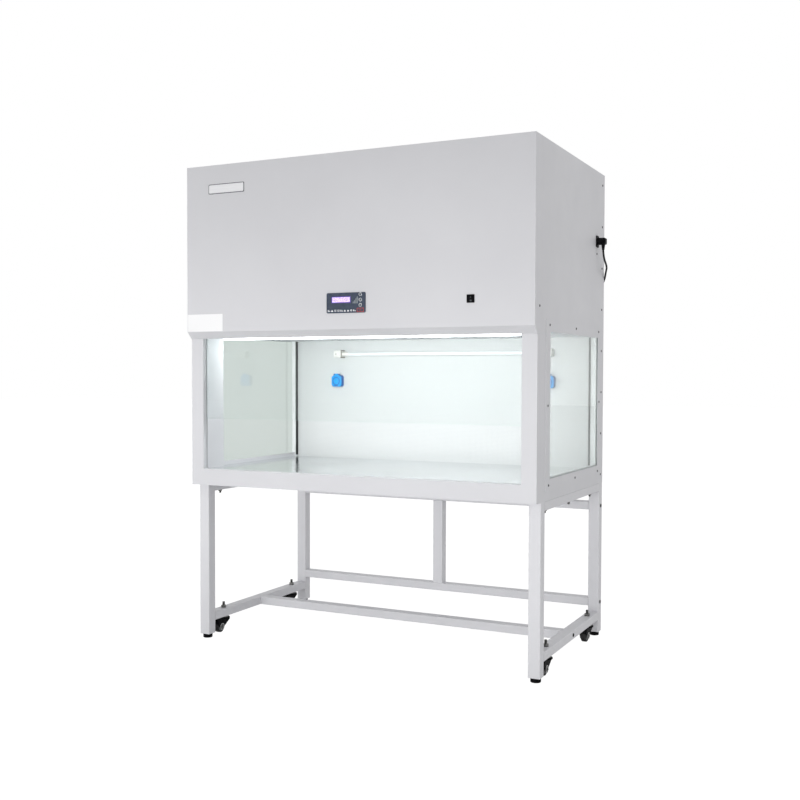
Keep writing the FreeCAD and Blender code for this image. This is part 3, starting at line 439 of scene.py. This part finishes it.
trim_face = 651.5
rear_row = 8
row_top, row_run = 1659.5, 1059.1
places = []
for side in (-1, 1):
    for y, z in ((142.7, 1123), (432, 1123), (717, 1123), (127.4, 868.5), (728, 868.5),
                 (714.6, 616), (430, 616), (138.4, 616)):
        places.append((at(side * trim_face, y, z), (side, 0, 0)))
    for i in range(rear_row):
        places.append((at(side * side_face, 761, row_top - i * row_run / (rear_row - 1)), (side, 0, 0)))
    places.append((at(side * side_face, 44, 1178), (side, 0, 0)))
places.append((at(side_face, 690.5, 1403), sideways))
screw_form = from_bmesh("screw_form", cross_head(4.0, 1.5))
screws = repeated("cross_screws", screw_form, places, dark_steel, math.pi, 3)
settle(screws, "cabinet")
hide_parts("panel_screws")

# Back wall of the chamber: a flat coated sheet with very fine perforation in front of the
# filter, too small to see from outside except as a soft even tone.
wall, tree, shader = finish("perforated_wall", (0.8, 0.83, 0.83), 0.45)
coords = tree.nodes.new("ShaderNodeTexCoord")
spacing = tree.nodes.new("ShaderNodeVectorMath")
spacing.operation = "SCALE"
hole_pitch = 0.005
spacing.inputs["Scale"].default_value = 1 / hole_pitch
fraction = tree.nodes.new("ShaderNodeVectorMath")
fraction.operation = "FRACTION"
centre = tree.nodes.new("ShaderNodeVectorMath")
centre.operation = "SUBTRACT"
centre.inputs[1].default_value = (0.5, 0.5, 0.5)
flat = tree.nodes.new("ShaderNodeVectorMath")
flat.operation = "MULTIPLY"
flat.inputs[1].default_value = (1, 0, 1)
reach = tree.nodes.new("ShaderNodeVectorMath")
reach.operation = "LENGTH"
# Mask of the holes. It carries their bump, and each hole is painted darker than the sheet as painted shade
# inside it.
hole_and_shade = tree.nodes.new("ShaderNodeMapRange")
hole_and_shade.inputs["From Min"].default_value = 0.12
hole_and_shade.inputs["From Max"].default_value = 0.18
mix = tree.nodes.new("ShaderNodeMix")
mix.data_type = "RGBA"
mix.inputs["A"].default_value = (0.42, 0.45, 0.45, 1)
mix.inputs["B"].default_value = (0.655, 0.67, 0.672, 1)
tree.links.new(coords.outputs["Object"], spacing.inputs[0])
tree.links.new(spacing.outputs[0], fraction.inputs[0])
tree.links.new(fraction.outputs[0], centre.inputs[0])
tree.links.new(centre.outputs[0], flat.inputs[0])
tree.links.new(flat.outputs[0], reach.inputs[0])
tree.links.new(reach.outputs["Value"], hole_and_shade.inputs["Value"])
tree.links.new(hole_and_shade.outputs["Result"], mix.inputs["Factor"])
tree.links.new(mix.outputs["Result"], shader.inputs["Base Color"])
relief(tree, shader, hole_and_shade.outputs["Result"], 0.0004, 0.3)
paint(nodes["diffuser"], wall)

# Worktop: stainless sheet, polished with a faint grain from side to side. It lies loose on the
# base pan's flanges.
steel, tree, shader = finish("polished_steel", (0.74, 0.76, 0.77), 0.16, 1.0)
grain = pattern(tree, 90.0, 4.0, (0.04, 1, 1))
tone(tree, shader, grain, (0.76, 0.78, 0.79), (0.81, 0.83, 0.84))
gloss(tree, shader, pattern(tree, 5.0), 0.12, 0.2)
relief(tree, shader, grain, 0.00004, 0.25)
paint(nodes["worktop"], steel)

# Gasket strips beside the back wall: black sponge rubber, glued between the wall and the
# rear uprights.
gasket, tree, shader = finish("sponge_rubber", (0.02, 0.022, 0.022), 0.75)
tone(tree, shader, pattern(tree, 60.0), (0.015, 0.016, 0.016), (0.035, 0.037, 0.037))
relief(tree, shader, pattern(tree, 900.0), 0.0003, 0.6)
paint(nodes["gaskets"], gasket)

# Filter and inlet filter: pleated and laid fibre, white. One is clamped behind the back wall and
# one lies under the top panel's slots, both out of sight.
fibre, tree, shader = finish("filter_fibre", (0.8, 0.8, 0.77), 0.95)
tone(tree, shader, pattern(tree, 200.0, 6.0), (0.7, 0.7, 0.67), (0.85, 0.85, 0.82))
relief(tree, shader, pattern(tree, 1500.0, 6.0), 0.0005, 0.8)
for name in ("hepa_filter", "prefilter"):
    paint(nodes[name], fibre)

# Blower and sash guides: galvanised sheet with its spangle. The blower is bolted on the deck, and
# the guides stand above the front posts.
zinc, tree, shader = finish("galvanised_sheet", (0.55, 0.57, 0.58), 0.42, 0.9)
cells = tree.nodes.new("ShaderNodeTexVoronoi")
cells.inputs["Scale"].default_value = 120.0
coords = tree.nodes.new("ShaderNodeTexCoord")
tree.links.new(coords.outputs["Object"], cells.inputs["Vector"])
tone(tree, shader, cells.outputs["Distance"], (0.48, 0.5, 0.51), (0.62, 0.64, 0.65))
gloss(tree, shader, cells.outputs["Distance"], 0.34, 0.5)
for name in ("fan_scroll", "impeller", "motor", "sash_guides"):
    paint(nodes[name], zinc)

# Sash and side windows: 5 mm float glass with ground edges, faintly green. Each pane is
# clamped in the posts or behind the screwed trim.


def clear(name, tint, edge):
    """Clear glass; light passes straight through to what is behind."""
    mat, tree, shader = finish(name, tint, 0.0)
    shader.inputs["Transmission Weight"].default_value = 1.0
    shader.inputs["IOR"].default_value = 1.4
    smear = pattern(tree, 6.0, 5.0)
    gloss(tree, shader, smear, 0.0, edge)
    passing = tree.nodes.new("ShaderNodeBsdfTransparent")
    passing.inputs["Color"].default_value = (*tint, 1)
    rays = tree.nodes.new("ShaderNodeLightPath")
    swap = tree.nodes.new("ShaderNodeMixShader")
    out = tree.nodes["Material Output"]
    tree.links.new(rays.outputs["Is Shadow Ray"], swap.inputs["Fac"])
    tree.links.new(shader.outputs["BSDF"], swap.inputs[1])
    tree.links.new(passing.outputs["BSDF"], swap.inputs[2])
    tree.links.new(swap.outputs["Shader"], out.inputs["Surface"])
    return mat


pane_glass = clear("pane_glass", (0.965, 0.985, 0.98), 0.015)
ground_edge, tree, shader = finish("ground_edge", (0.55, 0.75, 0.68), 0.3)
tone(tree, shader, pattern(tree, 400.0), (0.5, 0.7, 0.63), (0.6, 0.8, 0.73))
shader.inputs["Transmission Weight"].default_value = 0.3


def add_block(bm, low, high, soft=0.0, steps=2, index=0):
    """Block between two corners with its edges rounded."""
    low, high = Vector(low), Vector(high)
    made = bmesh.ops.create_cube(bm, size=1.0)["verts"]
    for v in made:
        v.co = Vector([(low[i] + high[i]) / 2 + v.co[i] * (high[i] - low[i]) for i in range(3)])
    faces = {f for v in made for f in v.link_faces}
    for f in faces:
        f.material_index = index
    if soft > 0:
        edges = list({e for f in faces for e in f.edges})
        made = bmesh.ops.bevel(bm, geom=edges, offset=soft, segments=steps, profile=0.5, affect="EDGES",
                               material=-1)
        for f in made["faces"]:
            f.material_index = index
    return bm


def glass_faces(bm, across):
    """Clear material on the two large sides, ground edge on the rest."""
    bm.normal_update()
    for f in bm.faces:
        f.material_index = 0 if abs(f.normal[across]) > 0.9 and f.calc_area() > 0.01 else 1
    return bm


low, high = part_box("sash")
sash = from_bmesh("sash_pane", glass_faces(add_block(bmesh.new(), low, high, 0.0004, 1), 1))
settle(sash, "sash_body", pane_glass, ground_edge)
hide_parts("sash")
low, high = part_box("side_glass")
thick = 0.005
windows = bmesh.new()
add_block(windows, (low.x, low.y, low.z), (low.x + thick, high.y, high.z), 0.0004, 1)
add_block(windows, (high.x - thick, low.y, low.z), (high.x, high.y, high.z), 0.0004, 1)
side_panes = settle(from_bmesh("side_panes", glass_faces(windows, 0)), "cabinet", pane_glass, ground_edge)
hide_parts("side_glass")

# Lamp tube between its two holders on the back wall: clear quartz with white end caps, in white
# blocks that carry a dark spring clip. The work light sits under the ceiling.
lamp, tree, shader = finish("lamp_glass", (0.9, 0.93, 0.94), 0.08)
tone(tree, shader, pattern(tree, 30.0), (0.86, 0.9, 0.91), (0.93, 0.96, 0.97))
shader.inputs["Coat Weight"].default_value = 0.6
holder_white = moulded("holder_white", (0.8, 0.79, 0.76), (0.87, 0.86, 0.83), 0.4, 800.0)
clip, tree, shader = finish("clip_bronze", (0.16, 0.12, 0.08), 0.4, 0.6)
tone(tree, shader, pattern(tree, 60.0), (0.1, 0.08, 0.06), (0.2, 0.16, 0.1))
tube = bmesh.new()
lamp_z = 1049
start = at(-393, 685, lamp_z)
span = 842
quartz = [(0, 28), (7.6, 28), (8, 30), (8, span - 30), (7.6, span - 28), (0, span - 28)]
end_cap = [(0, 0), (7.4, 0), (8, 0.8), (8, 27), (7.4, 28.2), (0, 28.2)]
lathe(tube, quartz, start, sideways, 40)
lathe(tube, end_cap, start, sideways, 40, index=1)
lathe(tube, [(radius, span - along) for radius, along in end_cap[::-1]], start, sideways, 40, index=1)
tube = settle(from_bmesh("lamp_tube", tube), "cabinet", lamp, holder_white)
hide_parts("uv_tube")
blocks = bmesh.new()
for x, inward in ((-412, 1), (468, -1)):
    add_block(blocks, at(x - 17.5, 671.5, lamp_z - 14.5), at(x + 17.5, 705, lamp_z + 14.5), 0.003, 3)
    x0, x1 = sorted((x + inward * 15, x + inward * 19))
    for z in (lamp_z - 14, lamp_z + 14):
        add_block(blocks, at(x0, 671, z - 1.5), at(x1, 704, z + 1.5), 0.0008, 1, 1)
    x0, x1 = sorted((x + inward * 17, x + inward * 19))
    add_block(blocks, at(x0, 671, lamp_z - 13), at(x1, 673, lamp_z + 13), 0.0004, 1, 1)
    screw = [(0, 0), (2.2, 0), (1.8, 0.4), (0, 0.4)]
    lathe(blocks, screw, at(x - inward * 6, 671.5, lamp_z), forward, 20, index=1)
lathe(blocks, [(0, 0), (1.6, 0), (1.4, 1.5), (0, 1.5)], at(-429.5, 686, lamp_z), (-1, 0, 0), 16, index=1)
holders = settle(from_bmesh("lamp_blocks", blocks), "cabinet", holder_white, clip)
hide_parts("uv_holders")
light, tree, shader = finish("light_cover", (0.9, 0.93, 0.93), 0.4)
tone(tree, shader, pattern(tree, 20.0), (0.88, 0.91, 0.91), (0.93, 0.95, 0.95))
shader.inputs["Emission Color"].default_value = (0.93, 1.0, 0.99, 1)
shader.inputs["Emission Strength"].default_value = 8.0
paint(nodes["work_light"], light)

# Sockets: blue moulded boxes. Each lid is bevelled all round, with a raised ring, a finger lip
# and its hinge barrel, and stands in front of its box.
blue = moulded("socket_plastic", (0.001, 0.31, 0.78), (0.004, 0.37, 0.88), 0.4, shine=0.25)
deep_blue = moulded("socket_box", (0.003, 0.09, 0.36), (0.006, 0.12, 0.44), 0.4, shine=0.25)
paint(nodes["socket_bodies"], deep_blue)


def slab(bm, outline, start, end, soft=0.0, index=0):
    """Flat plate: an outline of (x, z) points in millimetres, run from y start to y end."""
    front = [bm.verts.new(at(x, start, z)) for x, z in outline]
    back = [bm.verts.new(at(x, end, z)) for x, z in outline]
    count = len(outline)
    faces = [bm.faces.new(front), bm.faces.new(back[::-1])]
    for i in range(count):
        j = (i + 1) % count
        faces.append(bm.faces.new((front[j], front[i], back[i], back[j])))
    for f in faces:
        f.material_index = index
    if soft > 0:
        made = bmesh.ops.bevel(bm, geom=list(faces[0].edges), offset=soft / 1000, segments=2, profile=0.5,
                               affect="EDGES", material=-1)
        for f in made["faces"]:
            f.material_index = index


def rounded_outline(x0, x1, z0, z1, radius, steps=6):
    """Rectangle of (x, z) points with round corners."""
    points = []
    corners = ((x1 - radius, z1 - radius, 0), (x0 + radius, z1 - radius, 90), (x0 + radius, z0 + radius, 180),
               (x1 - radius, z0 + radius, 270))
    for cx, cz, start in corners:
        for i in range(steps + 1):
            turn = math.radians(start + 90 * i / steps)
            points.append((cx + radius * math.cos(turn), cz + radius * math.sin(turn)))
    return points


lid_front, lid_foot, lid_head = 681.4, 917, 962.5
cut = 7
for end, x in (("left", -422), ("right", 468)):
    lid = bmesh.new()
    left, right = x - 22, x + 22
    outline = [(left + cut, lid_foot), (right - cut, lid_foot), (right, lid_foot + cut),
               (right, lid_head - cut), (right - cut, lid_head), (left + cut, lid_head),
               (left, lid_head - cut), (left, lid_foot + cut)]
    slab(lid, outline, lid_front, 687.7, 1.6)
    centre = at(x, lid_front, 939.5)
    lathe(lid, [(13.5, -0.1), (16.5, -0.1), (16.2, 0.6), (13.8, 0.6)], centre, forward, 48, True, 1)
    lathe(lid, [(0, -0.1), (9, -0.1), (8, 0.5), (0, 0.6)], centre, forward, 40)
    slab(lid, rounded_outline(x - 8, x + 8, 919, 922.5, 1.2, 3), 680.8, 682, 0.3, 1)
    add_block(lid, at(x - 7, 680.8, 961), at(x + 7, 686.5, 966.5), 0.0008, 2)
    barrel = [(0, -7), (3.0, -7), (3.5, -6.5), (3.5, 6.5), (3.0, 7), (0, 7)]
    lathe(lid, barrel, at(x, 684, 966.5), sideways, 28)
    lid = settle(from_bmesh("lid_" + end, lid), "socket_lid_" + end + "_body", blue, deep_blue)
    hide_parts("socket_lid_" + end)

# Control panel: dark overlay on a rounded plate, lilac display, three ringed buttons and
# a row of flat printed marks. Nothing is lettered.
overlay = moulded("panel_overlay", (0.042, 0.056, 0.088), (0.056, 0.073, 0.112), 0.42, 1600.0, shine=0.3)
paint(nodes["panel_body"], overlay)
for name in ("button_1", "button_2", "button_3"):
    paint(nodes[name], overlay)
window, tree, shader = finish("display_window", (0.6, 0.52, 0.85), 0.15)
glow = tone(tree, shader, pattern(tree, 420.0, 1.0), (0.46, 0.3, 0.78), (0.8, 0.66, 0.95))
tree.links.new(glow, shader.inputs["Emission Color"])
shader.inputs["Emission Strength"].default_value = 0.55
paint(nodes["display"], window)
ink = moulded("print_white", (0.84, 0.86, 0.88), (0.92, 0.94, 0.95), 0.5, 1600.0)
pale_ink = moulded("print_grey", (0.24, 0.27, 0.29), (0.36, 0.39, 0.42), 0.5, 1600.0)
violet_ink = moulded("print_violet", (0.05, 0.03, 0.26), (0.08, 0.05, 0.34), 0.35, 1600.0)
red_ink = moulded("print_red", (0.34, 0.05, 0.055), (0.46, 0.07, 0.07), 0.5, 1600.0)


def oblong(x0, x1, z0, z1):
    """The four (x, z) corners of a rectangle."""
    return [(x0, z0), (x1, z0), (x1, z1), (x0, z1)]


prints = bmesh.new()
face_y = -2.98
ink_y = -3.12
button_x = 51.7
button_z = (1229, 1211.5, 1194)
bars_foot = 1199.5
row_foot, row_head = 1173.5, 1180
low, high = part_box("display")
glass_y = low.y * 1000 + middle
left, right, foot, head = low.x * 1000, high.x * 1000, low.z * 1000, high.z * 1000
rim = 2.7
for sides in ((left, right, head - rim, head), (left, right, foot, foot + rim),
              (left, left + rim, foot + rim, head - rim), (right - rim, right, foot + rim, head - rim)):
    slab(prints, oblong(*sides), glass_y - 0.08, glass_y + 0.02, index=2)
for i, top in enumerate((1205.5, 1210.5, 1216, 1222)):
    x0 = 24 + 5.0 * i
    x1 = x0 + 2.8
    slab(prints, [(x0, bars_foot), (x1, bars_foot), (x1, top + 1.2), (x0, top - 1.6)], ink_y, face_y, index=1)
for z in button_z:
    ring = [(4.9, 0), (5.9, 0), (5.9, 0.14), (4.9, 0.14)]
    lathe(prints, ring, at(button_x, face_y, z), forward, 48, True)
for i in range(9):
    x = -66 + 12 * i
    kind = (i * 5 + i // 3) % 3
    if kind == 0:
        slab(prints, rounded_outline(x - 4.2, x - 1, row_foot, row_head, 1.2, 3), ink_y, face_y)
        slab(prints, rounded_outline(x + 1, x + 4.2, row_foot, row_foot + 4, 1.2, 3), ink_y, face_y)
    elif kind == 1:
        ring = [(2.0, 0), (3.6, 0), (3.6, 0.14), (2.0, 0.14)]
        lathe(prints, ring, at(x, face_y, row_foot + 3.5), forward, 32, True)
    else:
        eaves = row_foot + 1.9
        house = [(x - 3.8, row_foot), (x + 3.8, row_foot), (x + 3.8, eaves), (x, row_head), (x - 3.8, eaves)]
        slab(prints, house, ink_y, face_y)
for sides in ((39, 65, 1182.4, 1184.6), (39, 65, 1170.6, 1172.8), (39, 41.4, 1172.8, 1182.4),
              (62.6, 65, 1172.8, 1182.4), (48, 56, 1176, 1179)):
    slab(prints, oblong(*sides), ink_y, face_y, index=3)
prints = settle(from_bmesh("panel_prints", prints), "cabinet", ink, pale_ink, violet_ink, red_ink)
for i, z in enumerate(button_z):
    ring = bmesh.new()
    lathe(ring, [(2.6, 0), (4.4, 0), (4.4, 0.08), (2.6, 0.08)], at(button_x, -3.52, z), forward, 40, True)
    ring = settle(from_bmesh("button_ring_" + str(i + 1), ring), "button_" + str(i + 1) + "_body", ink)

# Blank nameplate and blank label: a pale metal plate with a dark rim, riveted high on the cover,
# and a white paper label stuck low beside the opening. Neither is printed.
plate_face, tree, shader = finish("plate_satin", (0.9, 0.9, 0.92), 0.42, 0.1)
tone(tree, shader, pattern(tree, 120.0, 4.0, (0.05, 1, 1)), (0.86, 0.86, 0.88), (0.93, 0.93, 0.95))
rim_dark, tree, shader = finish("plate_rim", (0.1, 0.1, 0.12), 0.4, 0.2)
tone(tree, shader, pattern(tree, 90.0), (0.06, 0.06, 0.08), (0.14, 0.14, 0.16))
plate = bmesh.new()
slab(plate, rounded_outline(-556, -406, 1599, 1633, 4), -0.9, 0, 0.2, 1)
slab(plate, rounded_outline(-553.8, -408.6, 1601.4, 1630.6, 3), -1.1, -0.85, 0.1)
for x in (-550, -412):
    rivet = [(0, -0.1), (1.6, -0.1), (1.3, 0.5), (0.7, 0.8), (0, 0.85)]
    lathe(plate, rivet, at(x, -1.1, 1616), forward, 20)
plate = settle(from_bmesh("blank_plate", plate), "cabinet", plate_face, rim_dark)
paper, tree, shader = finish("label_paper", (0.86, 0.86, 0.87), 0.6)
tone(tree, shader, pattern(tree, 300.0, 5.0), (0.95, 0.95, 0.96), (0.98, 0.98, 0.985))
relief(tree, shader, pattern(tree, 2200.0), 0.00005, 0.5)
label = bmesh.new()
slab(label, rounded_outline(-648, -498, 1117, 1178, 2), -0.25, 0, 0.05)
label = settle(from_bmesh("blank_label", label), "cabinet", paper)

# Rocker switch, mains inlet, connector and plug: black moulded plastic. The rocker carries a
# white bar and a ring for on and off.
for name in ("switch_frame", "rocker", "inlet", "connector", "plug", "tie"):
    paint(nodes[name], black)
marks = bmesh.new()
switch_x = 440
hinge_z = 1202.57
ring = [(1.6, -0.02), (2.3, -0.02), (2.3, 0.08), (1.6, 0.08)]
lathe(marks, ring, at(switch_x, -0.57, 1197.2), forward, 32, True)
slope = math.tan(math.radians(16))
bar = oblong(switch_x - 0.6, switch_x + 0.6, 1205.2, 1209.6)
front = [marks.verts.new(at(x, -0.65 - (z - hinge_z) * slope, z)) for x, z in bar]
rear = [marks.verts.new(at(x, -0.5 - (z - hinge_z) * slope, z)) for x, z in bar]
marks.faces.new(front)
marks.faces.new(rear[::-1])
for i in range(4):
    j = (i + 1) % 4
    marks.faces.new((front[j], front[i], rear[i], rear[j]))
marks = settle(from_bmesh("rocker_marks", marks), "rocker_body", pale_ink)

# Lead: 7 mm black mains lead. It leaves the connector's sleeve, bends round the rear edge,
# hangs behind the right rear leg and ends in a tied coil and its plug on the floor.
sheath = moulded("lead_sheath", (0.006, 0.006, 0.006), (0.014, 0.014, 0.015), 0.5, 1400.0, shine=0.25)
route = [(673, 690.5, 1416), (673.4, 693, 1399), (675, 703, 1380), (676, 722, 1366.5), (672, 745, 1356.5),
         (664, 766, 1347.5), (657, 784, 1336.5), (650, 799, 1321.5), (638, 806, 1299.5), (627, 809, 1267.5),
         (624.5, 810, 1215.5), (623.6, 811.3, 1132.5)]
for i in range(11):
    z = 1040 - 89.5 * i
    share = 0.16 + 0.084 * i
    bow = 16 * (math.sin(math.pi * (0.12 + 0.8 * share)) - math.sin(math.pi * 0.12))
    route.append((624 - 2 * math.sin(math.pi * share), 809 + bow, z))
route += [(621, 811, 82), (607, 810, 34), (580, 800, 9), (551, 782, 4.4), (523, 762, 3.8), (495, 746, 3.8),
          (467, 737.5, 4.4)]
coil_x, coil_y = 440, 695
coil_turns = 3
turn_points = 16
outer, step_in = 41.2, 7.2
lower, step_up = 5.2, 7.3
for i in range(coil_turns * turn_points + 1):
    turned = i * 360 / turn_points
    wide = outer
    high = lower
    if turned >= 270:
        wide = outer - step_in * min(1, (turned - 270) / 80)
    if turned >= 560:
        high = lower + step_up * min(1, (turned - 560) / 60)
    if turned >= 850:
        wide = outer - step_in + step_in * min(1, (turned - 850) / 60)
    angle = math.radians(90 + turned)
    wide = wide / math.cos(math.pi / turn_points) ** 0.5
    route.append((coil_x + wide * math.cos(angle), coil_y + wide * math.sin(angle), high))
route += [(423, 732.2, 12.0), (406, 724.4, 11.4), (388, 717.5, 10.4), (370, 713, 9.5), (352, 713, 9.5)]
line = bpy.data.curves.new("lead", "CURVE")
line.dimensions = "3D"
lead_radius = 0.0035
line.bevel_depth = 1.0
line.bevel_resolution = 5
line.resolution_u = 8
line.use_fill_caps = True
spline = line.splines.new("NURBS")
spline.points.add(len(route) - 1)
for point, place in zip(spline.points, route):
    point.co = (*at(*place), 1)
    point.radius = lead_radius
spline.order_u = 3
spline.use_endpoint_u = True
lead = bpy.data.objects.new("lead", line)
settle(lead, "cabinet")
lead.data.materials.append(sheath)
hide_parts("cord", "coil")

# Floor, lamps and camera: a pale floor that shows white to the camera and keeps the shadow, a wide
# lamp in front of the cabinet and a narrow one under the chamber's ceiling.
floor_mesh = bpy.data.meshes.new("floor")
floor_mesh.from_pydata([(-30, -30, 0), (30, -30, 0), (30, 30, 0), (-30, 30, 0)], [], [(0, 1, 2, 3)])
floor = bpy.data.objects.new("floor", floor_mesh)
bpy.context.scene.collection.objects.link(floor)
through_glass = (0.63, 0.675, 0.65)
pale, tree, shader = finish("pale_floor", (0.93, 0.93, 0.93), 0.9)
shader.inputs["Specular IOR Level"].default_value = 0.0
white = tree.nodes.new("ShaderNodeEmission")
white.inputs["Strength"].default_value = 1.12
rays = tree.nodes.new("ShaderNodeLightPath")
blend = tree.nodes.new("ShaderNodeMixShader")
share = tree.nodes.new("ShaderNodeMath")
share.operation = "MULTIPLY"
share.inputs[1].default_value = 0.88
tree.links.new(rays.outputs["Is Camera Ray"], share.inputs[0])
tree.links.new(share.outputs["Value"], blend.inputs["Fac"])
tree.links.new(shader.outputs["BSDF"], blend.inputs[1])
tree.links.new(white.outputs["Emission"], blend.inputs[2])
beyond = tree.nodes.new("ShaderNodeEmission")
beyond.inputs["Color"].default_value = (*through_glass, 1)
glazed = tree.nodes.new("ShaderNodeMixShader")
tree.links.new(rays.outputs["Is Transmission Ray"], glazed.inputs["Fac"])
tree.links.new(blend.outputs["Shader"], glazed.inputs[1])
tree.links.new(beyond.outputs["Emission"], glazed.inputs[2])
tree.links.new(glazed.outputs["Shader"], tree.nodes["Material Output"].inputs["Surface"])
paint(floor, pale)

world = bpy.data.worlds.new("studio")
bpy.context.scene.world = world
world.use_nodes = True
tree = world.node_tree
ambient = tree.nodes["Background"]
ambient.inputs["Color"].default_value = (1, 1, 1, 1)
sky = tree.nodes.new("ShaderNodeTexCoord")
height = tree.nodes.new("ShaderNodeSeparateXYZ")
fade = tree.nodes.new("ShaderNodeMapRange")
fade.inputs["From Min"].default_value = 0.05
fade.inputs["From Max"].default_value = 0.75
fade.inputs["To Min"].default_value = 0.86
fade.inputs["To Max"].default_value = 0.62
seen = tree.nodes.new("ShaderNodeBackground")
seen.inputs["Color"].default_value = (1, 1, 1, 1)
through = tree.nodes.new("ShaderNodeBackground")
through.inputs["Color"].default_value = (*through_glass, 1)
rays = tree.nodes.new("ShaderNodeLightPath")
choose = tree.nodes.new("ShaderNodeMixShader")
choose_through = tree.nodes.new("ShaderNodeMixShader")
tree.links.new(sky.outputs["Generated"], height.inputs["Vector"])
tree.links.new(height.outputs["Z"], fade.inputs["Value"])
tree.links.new(fade.outputs["Result"], ambient.inputs["Strength"])
tree.links.new(rays.outputs["Is Camera Ray"], choose.inputs["Fac"])
tree.links.new(ambient.outputs["Background"], choose.inputs[1])
tree.links.new(seen.outputs["Background"], choose.inputs[2])
tree.links.new(rays.outputs["Is Transmission Ray"], choose_through.inputs["Fac"])
tree.links.new(choose.outputs["Shader"], choose_through.inputs[1])
tree.links.new(through.outputs["Background"], choose_through.inputs[2])
tree.links.new(choose_through.outputs["Shader"], tree.nodes["World Output"].inputs["Surface"])


def lamp_at(name, place, aim, wide, deep, power, spread=180):
    """Soft rectangular lamp aimed at a point; spread is the angle of its beam in degrees."""
    data = bpy.data.lights.new(name, "AREA")
    data.shape = "RECTANGLE"
    data.size = wide
    data.size_y = deep
    data.energy = power
    data.spread = math.radians(spread)
    made = bpy.data.objects.new(name, data)
    made.visible_camera = False
    made.visible_transmission = False
    made.location = place
    made.rotation_euler = (Vector(aim) - Vector(place)).to_track_quat("-Z", "Y").to_euler()
    bpy.context.scene.collection.objects.link(made)


lamp_at("key", (-0.1, -5.5, 0.7), (-0.1, 0, 0.7), 3.4, 1.4, 6.9, 28)
lamp_at("chamber", at(0, 130, 1085), at(0, 700, 850), 1.15, 0.05, 2.15)

picture = 800
sensor = 36.0
focal = 1049.915
optical_x, optical_y = 388.511, 407.862
heading, dip, roll = 0.462086, 0.0304857, 0.0023824
eye = (1.674395, -3.051237 - middle / 1000, 0.961476)
camera_data = bpy.data.cameras.new("camera")
camera_data.sensor_width = sensor
camera_data.lens = sensor * focal / picture
camera_data.shift_x = (picture / 2 - optical_x) / picture
camera_data.shift_y = (optical_y - picture / 2) / picture
camera_data.clip_end = 100
camera = bpy.data.objects.new("camera", camera_data)
bpy.context.scene.collection.objects.link(camera)
turn = Matrix.Rotation(heading, 4, "Z") @ Matrix.Rotation(math.pi / 2 - dip, 4, "X")
turn = turn @ Matrix.Rotation(roll, 4, "Z")
camera.matrix_world = Matrix.Translation(eye) @ turn
bpy.context.scene.camera = camera
bpy.context.scene.view_settings.view_transform = "Standard"

bpy.context.view_layer.update()
